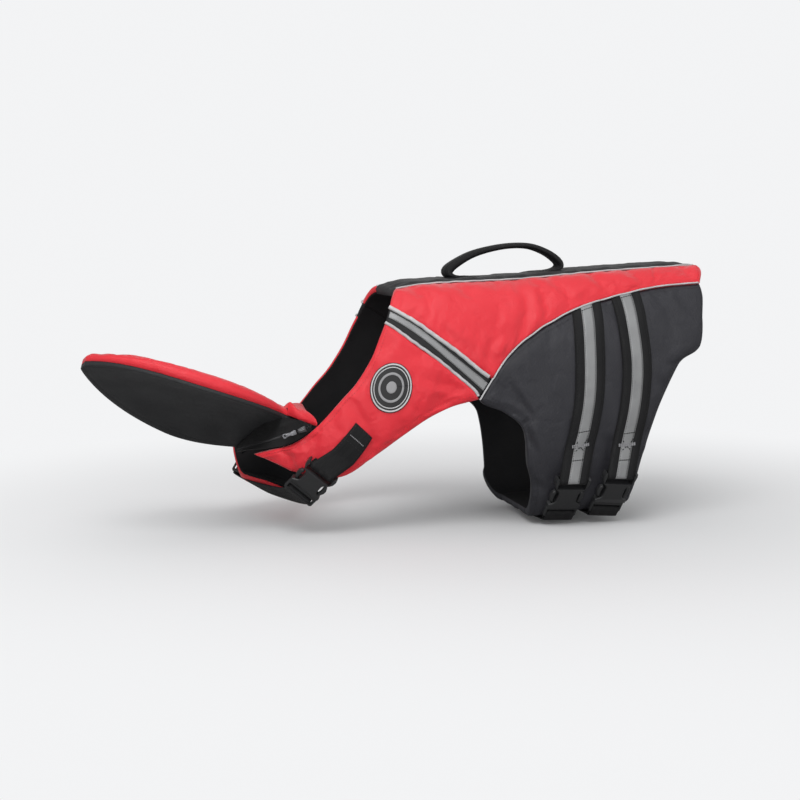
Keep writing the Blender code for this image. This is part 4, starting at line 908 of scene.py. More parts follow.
def spineRelief(want, x, base, away, t):
    # the rolled neck, puckers along both seams, channels and creases
    at, wide = want["rollAt"]
    side = np.sqrt(np.clip(np.minimum(away["top"], away["bottom"]) / want["rollSide"], 0, 1))
    relief = (want["roll"] - want["thick"]) * bump(away["front"] - at, wide) * side
    depth, length, far = want["pucker"]
    for key in ("top", "bottom"):
        relief += depth * ripple(away["s"][key], length, 5) * np.exp(-away[key] / far) * np.clip(away[key] / 3, 0, 1)
    depth, wide = want["channel"]
    for seamX in want["channels"]:
        relief -= depth * bump(x - seamX, wide) * t
    return relief - creaseDepth(base, want["creases"]) * t


def middlePanel(name, node, want):
    # padded panel that lies across the body's middle
    grid = np.stack(np.meshgrid(np.linspace(*cut[want["run"]], want["columns"] * fine + 1),
                                np.linspace(*want["angles"], want["rows"] * fine + 1)), -1)
    base, outward = bodyFrame(grid[..., 0], grid[..., 1])
    base = drawnIn(base)
    away = runs(base)
    reach = nearest(away)
    t, height = domed(reach, want)
    depth, length, seed = want["wave"]
    height += depth * swell(flatCut(grid), length, seed) * t
    for depth, at in want.get("grooves", ()):
        height -= depth * bump(reach - at, padding["groove"])
    if "roll" in want:
        height += spineRelief(want, grid[..., 0], base, away, t)
    outer = puffedOut(base + outward * height[..., None], want["inside"])
    piece = slab(name, base, outer, flatCut(grid), want["finish"], [node], back=padding["backing"])
    panels[name] = {"outer": outer, "away": runs(outer), "piece": piece}


for side in sides:
    makeSidePanels(side)
    makeLining(side)
middlePanel("spinePanel", "spine_panel", spinePanel)
middlePanel("bellyPanel", "belly_panel", bellyPanel)
print("padded panels and linings are made")

# radius and height over the body in mm, and how much the cord strays
piping = {"spine": (1.0, 10.0), "bandTop": (2.5, 9.0), "bandBottom": (1.9, 9.2), "seam": (1.05, 10.2),
          "length": 330, "stray": (0.25, 22.0, 71), "sway": (0.12, 30.0, 73)}


def tubePiece(name, points, radius, finish, nodes=()):
    curve = bpy.data.curves.new(name, "CURVE")
    curve.dimensions = "3D"
    curve.bevel_depth = radius * mm
    curve.bevel_resolution = 3
    curve.use_fill_caps = True
    spline = curve.splines.new("POLY")
    spline.points.add(len(points) - 1)
    for spot, point in zip(spline.points, points):
        spot.co = (*(np.asarray(point) * mm), 1.0)
    shown = bpy.data.objects.new(name, curve)
    scene.collection.objects.link(shown)
    mesh = bpy.data.meshes.new_from_object(shown.evaluated_get(bpy.context.evaluated_depsgraph_get()))
    bpy.data.objects.remove(shown, do_unlink=True)
    mesh.name = name
    mesh.shade_smooth()
    mesh.materials.clear()
    return dress(name, mesh, finish, nodes)


def makePipings(side):
    for name, node, line, key in (
        ("pipingSpine_", "piping_spine_", grids["spine"][1:-2], "spine"),
        ("pipingBandTop_", "piping_band_top_", grids["bandTop"][:-2], "bandTop"),
        ("pipingBandBottom_", "piping_band_bottom_", grids["bandBottom"][:-2], "bandBottom"),
        ("pipingSeam_", "piping_seam_", np.concatenate((grids["bandBottom"][-1:], grids["seam"][:-1])), "seam"),
    ):
        radius, height = piping[key]
        run = np.linspace(0, 1, len(line)) * piping["length"]
        stray, sway = (size * ripple(run, length, seed) for size, length, seed in (piping["stray"], piping["sway"]))
        points = bodyPoint(line[:, 0], signOf(side) * (line[:, 1] + sway), height + stray)
        tubePiece(name + side, points, radius, "palePiping", [node + side])


for side in sides:
    makePipings(side)
print("pipings are made")

# rows of thread: length of a stitch, gap after it, half width and how far it stands up, in mm
sewing = {"length": 2.7, "gap": 1.3, "wide": 0.30, "high": 0.26, "sunk": 0.05}


def bead(shape, spot, axes, sizes, segments, rings):
    matrix = axesMatrix(*axes, spot * mm) @ Matrix.Diagonal((*(Vector(sizes) * mm), 1))
    bmesh.ops.create_uvsphere(shape, u_segments=segments, v_segments=rings, radius=1.0, matrix=matrix)


def pour(part, whole):
    mesh = meshOf(part, "lot")
    whole.from_mesh(mesh)
    bpy.data.meshes.remove(mesh)
    return bmesh.new()


def stitchRow(name, rows, finish, **own):
    # rows is a list of (points, directions outward) lines in mm
    want = {**sewing, **own}
    length, gap = want["length"], want["gap"]
    whole, shape = bmesh.new(), bmesh.new()
    for points, ups in rows:
        lengths = lengthsOf(points)
        count = max(1, int((lengths[-1] + gap) / (length + gap)))
        for k in range(count):
            at = (k + 0.5) / count * lengths[-1]
            low, spot, high = (pointAt(at + step, lengths, points) for step in (-length / 2, 0, length / 2))
            along = Vector(high - low).normalized()
            up = Vector(pointAt(at, lengths, ups))
            up = (up - along * up.dot(along)).normalized()
            bead(shape, Vector(spot) + up * want["sunk"], (along, up.cross(along), up),
                 (length / 2, want["wide"], want["high"]), 6, 4)
            if len(shape.verts) > 600:  # poured together in small lots, which is much quicker
                shape = pour(shape, whole)
    pour(shape, whole).free()
    mesh = meshOf(whole, name)
    mesh.shade_smooth()
    return dress(name, mesh, finish)


def outwardOf(outer, inside):
    square = normalsOf(outer)
    return square if (square * (outer - np.asarray(inside))).sum() >= 0 else -square


def rimRow(name, key, at, first=0, last=None, inside=(20.0, 0.0, -135.0)):
    # line of points and directions at a distance from one rim of a panel
    outer, away = panels[name]["outer"], panels[name]["away"][key]
    ups = outwardOf(outer, inside)
    if key in ("front", "rear"):
        outer, ups, away = outer.swapaxes(0, 1), ups.swapaxes(0, 1), away.T
    if away[0].mean() > away[-1].mean():
        outer, ups, away = outer[::-1], ups[::-1], away[::-1]
    columns = range(outer.shape[1])[first:last]
    points, out = (np.array([pointAt(at, away[:, i], part[:, i]) for i in columns]) for part in (outer, ups))
    return points, out / np.linalg.norm(out, axis=1, keepdims=True)


# thread, panel and rows: rim, distance from it in mm, and the columns that the row leaves out at its ends
seamRows = {
    "flap": ("blackThread", "bellyFlap_", [("top", 8.5, fine, -2), ("front", 7.5, 2, -fine), ("rear", 6.5, 2, -fine)]),
    "wing": ("redThread", "chestWing_", [("top", 6.5, 2, -2), ("bottom", 7.0, 2, -2), ("rear", 6.0, 2, -2)]),
    "upper": ("redThread", "upperSide_", [("rear", 5.5, 2, -2), ("top", 2.6, 2, -2), ("bottom", 2.6, 2, -2)]),
}
for side in sides:
    for part, (thread, panel, rows) in seamRows.items():
        stitchRow("seamThread_" + part + "_" + side, [rimRow(panel + side, *row) for row in rows], thread)
    stitchRow("seamThread_spine_" + side, [
        rimRow("spinePanel", "top" if side == "right" else "bottom", 3.4, 2, -2)], "blackThread")
stitchRow("seamThread_belly", [rimRow(panel, key, at, 2, -2) for panel, at in (("bellyPanel", 8.0), ("spinePanel", 6.0))
                               for key in ("front", "rear")], "blackThread")
print("seams are stitched")

chin = {
    "base": (-306, -1.0, -167.6), "length": 232.0, "half": 89.0, "yaw": 12.3, "pitch": 20.6, "roll": 24.2,
    "thick": 17.0, "rim": 11.5, "sag": 4.0, "cup": 16.0, "soft": 20.0,
    "baseShare": 0.716, "tip": 0.986, "power": 3.117, "round": 1.208, "flare": 2.5,  # outline
    "corner": 0.085, "cornerFrom": 0.2, "nearDrop": 7.0,  # the near corner is rounded back, the near rim hangs
    "cover": 3.0, "under": -2.2, "underWave": (0.9, 70.0, 85), "coverWave": (0.8, 64.0, 87), "fullness": 1.6,
    "pucker": (0.6, 13.0, 60.0, 9.0), "groove": (0.5, 9, 1.5), "underCut": (0.24, 0.18), "underArea": 0.032,
}


def floatAxes():
    yaw, pitch, roll = (math.radians(chin[key]) for key in ("yaw", "pitch", "roll"))
    along = np.array((-math.cos(yaw) * math.cos(pitch), -math.sin(yaw) * math.cos(pitch), math.sin(pitch)))
    level = np.cross((0, 0, 1), along)
    level = -level / np.linalg.norm(level)
    under = np.cross(along, level)
    across = level * math.cos(roll) + under * math.sin(roll)
    return along, across, np.cross(along, across)


def nearDrop(u, v):
    return chin["nearDrop"] * np.sin(math.pi * np.clip(u, 0, 1)) * np.clip(-v, 0, 1)**3


def floatPoint(u, v, lift):
    # u and v are shares of the float's length and half width, lift is the height above its underside
    along, across, under = floatAxes()
    u, v, lift = np.broadcast_arrays(u, v, lift)
    inside = np.maximum(u, 0.0)
    width = (1 - inside ** chin["power"]) ** (1 / chin["round"])
    flare = np.minimum(1.0, inside * chin["flare"])
    width = width * (chin["baseShare"] + (1 - chin["baseShare"]) * flare * (2 - flare))
    drop = chin["cup"] * (v * width)**2 - chin["sag"] * 4 * u * (1 - u) - lift + nearDrop(u, v)
    return (np.array(chin["base"]) + along * (chin["length"] * u)[..., None]
            + across * (chin["half"] * width * v)[..., None] + under * drop[..., None])


def makeFloat():
    u, v = np.meshgrid(chin["tip"] * np.sin(math.pi / 2 * np.linspace(0, 1, 13 * fine + 1)),
                       np.linspace(-1, 1, 10 * fine + 1))
    near = np.clip((-v - chin["cornerFrom"]) / (1 - chin["cornerFrom"]), 0, 1)**1.6
    u = u - chin["corner"] * near * np.clip(1 - u / 0.25, 0, 1)**2
    away = runs(floatPoint(u, v, 0.0))
    rim = np.minimum(np.minimum(away["top"], away["bottom"]), away["rear"])
    flat = np.stack((away["front"], away["top"]), -1)
    puff = np.clip(np.minimum(rim, away["front"]) / chin["soft"], 0, 1)
    full = np.sqrt(1 - (1 - puff)**2)
    depth, length, longer, far = chin["pucker"]
    seamWave = ripple(away["front"], length, 81) * (0.5 + 0.5 * ripple(away["front"], longer, 83))
    pucker = depth * seamWave * np.exp(-rim / far) * np.clip(rim / 2.5, 0, 1)
    depth, length, seed = chin["underWave"]
    low = chin["under"] + depth * swell(flat, length, seed) * puff - pucker
    depth, at, wide = chin["groove"]
    low = low - chin["fullness"] * full + depth * bump(rim - at, wide)
    under = floatPoint(u, v, low + 0.4)
    piece = slab("floatUnderside", under, floatPoint(u, v, chin["cover"]), flat, "floatLining", ["float_underside"])
    depth, length, seed = chin["coverWave"]
    high = chin["rim"] - chin["cover"] + (chin["thick"] - chin["rim"] + 1.0) * full
    high = high + depth * swell(flat, length, seed) * puff + pucker + nearDrop(u, v)
    top = puffedOut(floatPoint(u, v, high), floatPoint(0.5, 0.0, chin["cover"]), cap=1.0)
    cover = slab("floatCover", floatPoint(u, v, chin["cover"] + 0.3), top, flat, "redOxford", ["float_cover"],
                 back="floatLining", backWalls=["front"])
    panels["floatUnderside"] = {"outer": under, "away": away, "piece": piece}
    panels["floatCover"] = {"outer": top, "away": away, "piece": cover}


makeFloat()

bridge = {
    "rear": [(-249.5, -84, -160.5), (-247, 0, -160), (-243, 83, -154)], "thick": 8.0, "rim": 4.5, "soft": 22.0,
    "over": 4.0, "crown": 8.5, "wave": (0.5, 40.0, 91),
    "corner": (7.0, 0.86, 0.22, -0.95, 0.3),  # a raised near corner: height, then place and width each way
    "tuck": (0.0, 4.0, -14.0), "tuckFrom": 0.6,  # the far edge is drawn in under the wing
}


def makeBridge():
    columns, rows = 12 * fine, 5 * fine
    rear = spread(bridge["rear"], columns)
    v = np.linspace(-1, 1, columns + 1)
    share = np.linspace(0, 1, rows + 1)[:, None, None]
    tuck = np.array(bridge["tuck"]) * (np.clip((v - bridge["tuckFrom"]) / (1 - bridge["tuckFrom"]), 0, 1)**2)[:, None]
    layers = []
    for lift in (0, bridge["thick"]):
        front = floatPoint(-0.02, v, bridge["over"] + lift)
        back = rear + np.array((0, 0, lift))
        layers.append(back[None] + (front - back)[None] * share + tuck[None])
    lower, upper = layers
    away = runs(lower)
    t, _ = domed(nearest(away), bridge)
    upper -= np.array((0, 0, 1.0)) * (bridge["thick"] - bridge["rim"]) * (1 - t)[..., None]
    height, row, tall, across, wide = bridge["corner"]
    upper[..., 2] += height * bump(share[..., 0] - row, tall) * bump(v[None] - across, wide)
    depth, length, seed = bridge["wave"]
    upper[..., 2] += bridge["crown"] * np.sqrt(1 - (1 - t)**2) + depth * swell(lower, length, seed) * t
    piece = slab("neckBridge", lower, upper, np.stack((away["front"], away["top"]), -1), "redOxford",
                 ["neck_bridge"], back="liningMesh", backWalls=["bottom"])
    panels["neckBridge"] = {"outer": upper, "away": away, "piece": piece}


makeBridge()
floatMiddle = floatPoint(0.5, 0.0, 6.0)
stitchRow("floatThread", [rimRow("floatUnderside", key, 9.0, fine, -1, floatMiddle) for key in ("top", "bottom")],
          "blackThread")
stitchRow("bridgeThread", [rimRow("neckBridge", key, 4.5, 3, -3, (-270, 0, -190)) for key in ("top", "bottom")],
          "redThread")
print("float and neck bridge are made")

# where each buckle's bar lies, where the buckle points (x, angle and height over the body), and its stretch
seats = {
    "belly_front": ((55, -117.5, 17.6), (45, -147, 23.8), (1.0, 1.22)),
    "belly_rear": ((116, -118, 16.0), (103, -146, 23.5), (1.0, 1.22)),
    "chest_left": ((-242, -111, 14.5), (-266, -129, 17.0), (0.95, 0.98)),
    "chest_right": ((-291, 111, 14.5), (-312, 130, 18.0), (0.95, 0.98)),
}
buckle = {"edge": 0.45, "clipEnd": 47.0, "barIn": 1.8}


def seatMatrix(label):
    # plane of a buckle in mm: origin under its bar, Y along the strap, Z outward
    start, end, _ = seats[label]
    origin, tip = (Vector(bodyPoint(*place)) for place in (start, end))
    along = (tip - origin).normalized()
    _, square = bodyFrame((start[0] + end[0]) / 2, (start[1] + end[1]) / 2)
    outward = Vector(square)
    outward = (outward - along * outward.dot(along)).normalized()
    return axesMatrix(along.cross(outward), along, outward, origin)


def hardCopy(name, node):
    # the CAD's own hard part with rounded edges
    shape = bmesh.new()
    shape.from_mesh(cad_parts[node].data)
    bmesh.ops.remove_doubles(shape, verts=shape.verts, dist=1e-6)
    bmesh.ops.dissolve_limit(shape, angle_limit=math.radians(1.0), verts=shape.verts, edges=shape.edges)
    mesh = meshOf(shape, name)
    piece = dress(name, mesh, "bucklePlastic", [node])
    bevel = piece.modifiers.new("edges", "BEVEL")
    bevel.width, bevel.segments, bevel.harden_normals = buckle["edge"] * mm, 3, True
    bevel.limit_method, bevel.angle_limit = "ANGLE", math.radians(28)
    mesh.shade_smooth()
    mesh.set_sharp_from_angle(angle=math.radians(40))


for label in seats:
    hardCopy("buckle_body_" + label, "buckle_" + label)
    hardCopy("buckle_clip_" + label, "clip_" + label)
print("buckles are made")


def treeOf(*names):
    meshes = [panels[name]["piece"].data for name in names]
    return [BVHTree.FromPolygons([vert.co / mm for vert in mesh.vertices],
                                 [tuple(face.vertices) for face in mesh.polygons]) for mesh in meshes]


def groundHeights(x, angle, trees, reach=60.0):
    # heights of the outermost of some pieces over the body at each place
    base, outward = bodyFrame(x, angle)
    heights = np.full(base.shape[:-1], np.nan)
    for place in np.ndindex(heights.shape):
        start, way = Vector(base[place] + outward[place] * reach), Vector(-outward[place])
        hits = [hit for hit in (tree.ray_cast(start, way)[3] for tree in trees) if hit is not None and hit < reach]
        if hits:
            heights[place] = reach - min(hits)
    return heights


def evened(values, width=7):
    # a line of values with small steps smoothed out
    values = np.where(np.isnan(values), np.nanmean(values), values)
    padded = np.pad(values, width, mode="edge")
    kernel = np.hanning(2 * width + 1)
    return np.convolve(padded, kernel / kernel.sum(), mode="same")[width:-width]


def strip(name, line, thick, finish, nodes):
    # flat band through a grid of middle points, rows across it, a little thinner at its edges
    outward = normalsOf(line)
    half = thick / 2 * (1 - 0.22 * np.abs(np.linspace(-1, 1, line.shape[0])[:, None])**8)[..., None]
    away = runs(line)
    return slab(name, line - outward * half, line + outward * half, np.stack((away["front"], away["top"]), -1),
                finish, nodes)


def facesIn(line, centre):
    return normalsOf(line).reshape(-1, 3).mean(0) @ (line.reshape(-1, 3).mean(0) - centre) < 0


def startingNear(rows, point):
    # the same rows, turned end to end if that brings their start nearer to the point
    return rows if np.linalg.norm(rows[0, 0] - point) <= np.linalg.norm(rows[-1, 0] - point) else rows[::-1]


webbing = {
    "width": 37.0, "thick": 1.8, "rows": 9, "stripe": 14.5, "stripeThick": 0.7, "clear": 0.3, "over": 0.3,
    "front": [(76, 56), (75, 70), (74, 88), (68, 100), (61, 109), (57, 113.8)],  # x and angle, from the seam down
    "rear": [(127, 54), (130, 66), (134, 80), (132, 92), (125.5, 103), (118.5, 114.5)],
    "under": [(4, 135), (8, 180), (9, 202)],  # the right ones run on under the belly
    "steps": {"left": 30, "right": 48}, "kind": {"left": "body", "right": "clip"}, "stripePast": 2.5,
    "cut": {"left": (0.037, 0.24), "right": (0.037, 0.45)}, "stripeCut": (0.0145, 0.22),
}
loops = {  # the strap's way round a bar, as (y, z) in the buckle's plane
    "body": [(-4.5, 7.0), (-2.5, 7.8), (0.6, 8.1), (3.0, 7.0), (3.6, 5.0), (3.0, 3.0), (0.6, 2.0),
             (-3.0, 2.1), (-6, 2.4), (-7.5, 2.4)],
    "clip": [(15, 5.2), (8, 7.0), (3.0, 8.0), (-1.2, 8.3), (-4.4, 7.2), (-5.2, 5.0), (-4.4, 2.9), (-1.2, 1.8),
             (3.0, 2.0), (7, 2.4), (8.5, 2.4)],
}


def strapGrid(route, width, count):
    # rows along a route from just under the side seam, each at its own share of the width
    rows, seam = [], grids["seam"]
    for share in np.linspace(-0.5, 0.5, webbing["rows"]):
        places = [(x + share * width, angle) for x, angle in route]
        places[0] = (places[0][0], np.interp(places[0][0], seam[:, 0], seam[:, 1]) + webbing["clear"])
        rows.append(spread(places, count))
    return np.array(rows)


def barPoints(label, kind, width):
    # rows of points that go round a buckle's bar
    seat, (_, stretch) = seatMatrix(label), seats[label][2]
    offset = 0.0 if kind == "body" else (buckle["clipEnd"] - buckle["barIn"]) * stretch
    shares = np.linspace(-0.5, 0.5, webbing["rows"]) * width
    return np.array([[seat @ Vector((s, y + offset, z)) for y, z in loops[kind]] for s in shares])


def joined(keep, loop, count):
    # a strap from the end of its sewn part on to its bar and round it, the kink between them smoothed out
    rows = []
    for near, far in zip(keep, loop):
        between = [near[-1] + (far[1] - near[-1]) * share for share in (0.5, 0.8)]
        rows.append(spread(np.concatenate((near[[-1 - fine, -1]], between, far[1:])), count))
    line = np.concatenate((keep[:, :-1 - fine], np.array(rows)), 1)
    first, last = keep.shape[1] - fine, keep.shape[1] + 2 * fine
    for _ in range(30):
        line[:, first:last] = 0.5 * line[:, first:last] + 0.25 * (line[:, first - 1:last - 1]
                                                                  + line[:, first + 1:last + 1])
    return line


def makeBellyBand(label, side):
    route = list(webbing[label])
    if side == "right":
        route += [(route[-1][0] - x, angle) for x, angle in webbing["under"]]
    grid = strapGrid(route, webbing["width"], webbing["steps"][side] * fine // 3)
    x, angle = grid[..., 0], grid[..., 1] * signOf(side)
    heights = groundHeights(x, angle, treeOf("bellyFlap_" + side, "bellyPanel"))
    lift = evened(np.nanmax(np.where(np.isnan(heights), -1, heights), 0) * 0.6 + np.nanmean(heights, 0) * 0.4)
    lift = lift + webbing["thick"] / 2 + webbing["over"]
    keep = bodyPoint(x, angle, np.broadcast_to(lift, x.shape))[:, :-max(2, round(1.5 * fine))]
    loop = startingNear(barPoints("belly_" + label, webbing["kind"][side], webbing["width"]), keep[0, -1])
    whole = joined(keep, loop, 12 * fine)
    if facesIn(keep, bodyAxis):
        whole = whole[::-1]
    name = label + "_" + side
    piece = strip("sewnWebbing_" + name, whole, webbing["thick"], "blackWebbing", ["webbing_" + name])
    panels["sewnWebbing_" + name] = {"piece": piece, "line": keep}
    return whole, loop


stripeRun = {}


def makeStripe(label, side, whole, loop):
    # the silver stripe lies on the webbing, on the left as far as the buckle's bar, on the right just as long
    name, middleRow, rows = label + "_" + side, webbing["rows"] // 2, np.arange(webbing["rows"])
    run = runs(whole)["front"][middleRow]
    if side == "left":
        atBar = int(np.argmin(np.linalg.norm(whole[middleRow] - loop[middleRow, 1], axis=-1)))
        stripeRun[label] = run[atBar] + webbing["stripePast"]
    last = int(np.argmax(run > stripeRun[label]))
    middle = whole + normalsOf(whole) * ((webbing["thick"] + webbing["stripeThick"]) / 2)
    share = webbing["stripe"] / webbing["width"] / 2
    where = np.linspace(-share, share, 5) * (webbing["rows"] - 1) + middleRow
    line = np.stack([pointAt(where, rows, middle[:, k]) for k in range(last)], 1)
    piece = strip("silverStripe_" + name, line, webbing["stripeThick"], "reflectiveTape", ["stripe_" + name])
    panels["silverStripe_" + name] = {"line": line, "piece": piece}


for side in sides:
    for label in ("front", "rear"):
        makeStripe(label, side, *makeBellyBand(label, side))

# shares are where the tape lies across the shoulder band
bandTape = {"shares": (0.26, 0.64), "thick": 0.8, "over": 0.1, "cut": (0.0105, 0.145)}


def makeBandTape(side):
    top, bottom = grids["bandTop"], grids["bandBottom"]
    rows = [top + (bottom - top) * share for share in np.linspace(*bandTape["shares"], 7)]
    grid = np.array([spread(row[[1, len(row) // 2, -2]], 12 * fine) for row in rows])
    x, angle = grid[..., 0], grid[..., 1] * signOf(side)
    heights = groundHeights(x, angle, treeOf("shoulderBand_" + side))
    lift = evened(np.nanmean(heights, 0), 5) + bandTape["thick"] / 2 + bandTape["over"]
    line = bodyPoint(x, angle, np.broadcast_to(lift, x.shape))
    line = line[::-1] if facesIn(line, bodyAxis) else line
    piece = strip("shoulderTape_" + side, line, bandTape["thick"], "reflectiveTape", ["shoulder_tape_" + side])
    panels["shoulderTape_" + side] = {"line": line}


chest = {  # the patch's corners in side view, how far ahead the right one lies, and the strap as x, angle, height
    "patch": [(-207, -153.5), (-188, -171), (-245, -196), (-220, -213)], "ahead": {"left": 0.0, "right": 50.0},
    "width": 32.0, "thick": 1.8, "over": 0.2, "bare": 9, "inside": np.array((-230.0, 0.0, -150.0)),
    "strap": [(-274, -154, 6.5), (-288, 180, 12.0), (-305, 152, 14.0)],
    "patchCut": (0.032, 0.095), "strapCut": (0.032, 0.20),
}


def makeChestWebbing(side):
    corners = atHeight(chest["patch"])
    corners[:, 0] -= chest["ahead"][side]
    topFront, topRear, endFront, endRear = corners
    grid = np.array([spread([topFront + (topRear - topFront) * share, endFront + (endRear - endFront) * share],
                            8 * fine) for share in np.linspace(0, 1, webbing["rows"])])
    x, angle = grid[..., 0], grid[..., 1] * signOf(side)
    heights = groundHeights(x, angle, treeOf("chestWing_" + side))
    lift = evened(np.nanmax(np.where(np.isnan(heights), chest["bare"], heights), 0), 5)
    lift = lift + chest["thick"] / 2 + chest["over"]
    keep = bodyPoint(x, angle, np.broadcast_to(lift, x.shape))[:, :-round(2.6 * fine)]
    loop = startingNear(barPoints("chest_" + side, "body", chest["width"]), keep[0, -1])
    whole = joined(keep, loop, 10 * fine)
    if facesIn(keep, chest["inside"]):
        whole = whole[::-1]
    piece = strip("chestWebbing_" + side, whole, chest["thick"], "blackWebbing", ["chest_webbing_" + side])
    panels["chestWebbing_" + side] = {"line": keep, "piece": piece}


def makeChestStrap():
    starts = barPoints("chest_left", "clip", chest["width"])[:, ::-1]
    ends = startingNear(barPoints("chest_right", "clip", chest["width"]), starts[0, -1])
    middles = [bodyPoint(*place) for place in chest["strap"]]
    first, last = starts[-1, 0] - starts[0, 0], ends[-1, 0] - ends[0, 0]
    rows = []
    for k, share in enumerate(np.linspace(-0.5, 0.5, webbing["rows"])):
        inner = [middle + share * (first + (last - first) * (n + 1) / 4) for n, middle in enumerate(middles)]
        rows.append(spread(np.concatenate((starts[k, 2:8], inner, ends[k, 2:8])), 36 * fine))
    piece = strip("chestStrap", np.array(rows), chest["thick"], "blackWebbing", ["chest_strap"])


for side in sides:
    makeBandTape(side)
    makeChestWebbing(side)
makeChestStrap()

# where the stripes are sewn across: rows of the main render on the left side, and the same shares of their
# length on the right; tack is a bar tack's row, its width, length, number of stitches and distance to the next
# line of the chevron, all in mm
across = {"lines": {"front": (309.0, 431.7, 460.4), "rear": (296.5, 433.0, 460.0)},
          "tack": {"front": 445.5, "rear": 444.5}, "tackWide": 22.0, "tackLong": 3.4, "tackRows": 9,
          "chevron": (5.4, 5.0), "pinch": (6.9, 4.2, 7.0), "gap": 1.9}
shares = {}


def along(line, share, lift=0.0):
    # row of points across a band at a share of its length
    at = share * (line.shape[1] - 1)
    low, t = int(at), at - int(at)
    out = normalsOf(line)[:, low]
    row = line[:, low] * (1 - t) + line[:, min(low + 1, line.shape[1] - 1)] * t
    return row + out * lift, out


def shareAt(key, line, side, row):
    if side == "left":
        at = np.interp(row, pixelOf(line[line.shape[0] // 2])[1], np.arange(line.shape[1]))
        shares[key] = at / (line.shape[1] - 1)
    return shares[key]


def edgeRow(line, share, lift, first=0, last=None):
    # row of points along a band, at a share of its half width
    at = (share + 1) / 2 * (line.shape[0] - 1)
    low = min(int(at), line.shape[0] - 2)
    t, out = at - low, normalsOf(line)[low]
    return (line[low] * (1 - t) + line[low + 1] * t + out * lift)[first:last], out[first:last]


def unit(way):
    return way / np.linalg.norm(way)


def sewTack(stripe, share, lift, tacks, crossed):
    # a bar tack of short stitches side by side, and the point below it
    middle, out = along(stripe, share, lift + 0.15)
    way, centre, up = unit(middle[-1] - middle[0]), middle[len(middle) // 2], out[2]
    down = np.cross(way, up)
    for shift in np.linspace(-0.5, 0.5, across["tackRows"]) * across["tackLong"]:
        place, half = centre + down * shift, way * across["tackWide"] / 2
        tacks.append((np.array([place - half, place, place + half]), np.array([up] * 3)))
    below, _ = along(stripe, share + 0.03, lift)
    down = unit(below[len(below) // 2] - centre)
    (wide, tall), (top, foot, above), gap = across["chevron"], across["pinch"], across["gap"]
    for turn in (-1, 1):  # a sewn point below the tack, and slanting rows that draw the stripe in above it
        for ends in ((down * gap, down * (gap + tall) + way * turn * wide),
                     (way * turn * top - down * above, way * turn * foot - down * gap)):
            crossed.append((np.array([centre + up * 0.4 + end for end in ends]), np.array([up] * 2)))


def sewWebbing(side):
    bands, stripes, crossed, tacks = [], [], [], []
    lift = webbing["stripeThick"] / 2
    for label in ("front", "rear"):
        line, stripe = (panels[key + label + "_" + side]["line"] for key in ("sewnWebbing_", "silverStripe_"))
        bands += [edgeRow(line, share, webbing["thick"] / 2, 3) for share in (-0.87, 0.87)]
        stripes += [edgeRow(stripe, share, lift, 2, -2) for share in (-0.84, 0.84)]
        crossed += [along(stripe, shareAt((label, row), stripe, side, row), lift) for row in across["lines"][label]]
        sewTack(stripe, shareAt((label, "tack"), stripe, side, across["tack"][label]), lift, tacks, crossed)
    stitchRow("bandThread_" + side, bands, "blackThread", wide=0.34)
    stitchRow("stripeThread_" + side, stripes, "blackThread", length=2.4, gap=0.7)
    stitchRow("crossThread_" + side, crossed, "blackThread", length=3.0, gap=-0.2, wide=0.7)
    stitchRow("barTack_" + side, tacks, "greyThread", length=2.6, gap=-0.2, wide=0.28)
    line, lift = panels["chestWebbing_" + side]["line"], chest["thick"] / 2
    box = [edgeRow(line, share, lift, 2) for share in (-0.84, 0.84)]
    box += [along(line, share, lift) for share in (0.05, 0.52)]
    stitchRow("chestThread_" + side, box, "blackThread", wide=0.34)
    tack, out = along(line, 0.35, lift + 0.1)
    stitchRow("chestTack_" + side, [(tack[1:-1] + np.array((0, 0, 0.45 * k)), out[1:-1]) for k in range(3)],
              "greyThread", length=1.6, gap=0.5, wide=0.3)
    line = panels["shoulderTape_" + side]["line"]
    stitchRow("tapeThread_" + side, [edgeRow(line, share, bandTape["thick"] / 2, 2, -2) for share in (-0.8, 0.8)],
              "blackThread", length=2.0, gap=0.9, wide=0.22)


for side in sides:
    sewWebbing(side)
print("webbing and tapes are made")

handle = {  # along the back, height, width and thickness of the webbing on its way over the arch
    "arch": [(-36, 2.2, 38, 2.2), (-52, 2.4, 38, 2.6), (-67, 3.8, 37, 6.0), (-72.5, 9.5, 31, 12.0),
             (-65, 17.5, 27, 11.0), (-43, 29, 25, 9.0), (-18, 35.5, 25, 7.6), (8, 38, 25, 7.2), (33, 35.4, 25, 7.6),
             (54, 26.4, 25, 8.4), (68.5, 15.5, 27, 9.0), (72.5, 8, 32, 7.0), (68, 4.0, 37, 3.4),
             (56, 2.5, 38, 2.4), (38, 2.2, 38, 2.2)],
    "base": 11.0, "flatTo": 2.4, "foldOver": 4.6, "seam": (1.2, 0.72, 0.07), "sewnAt": (0.14, 0.86),
}


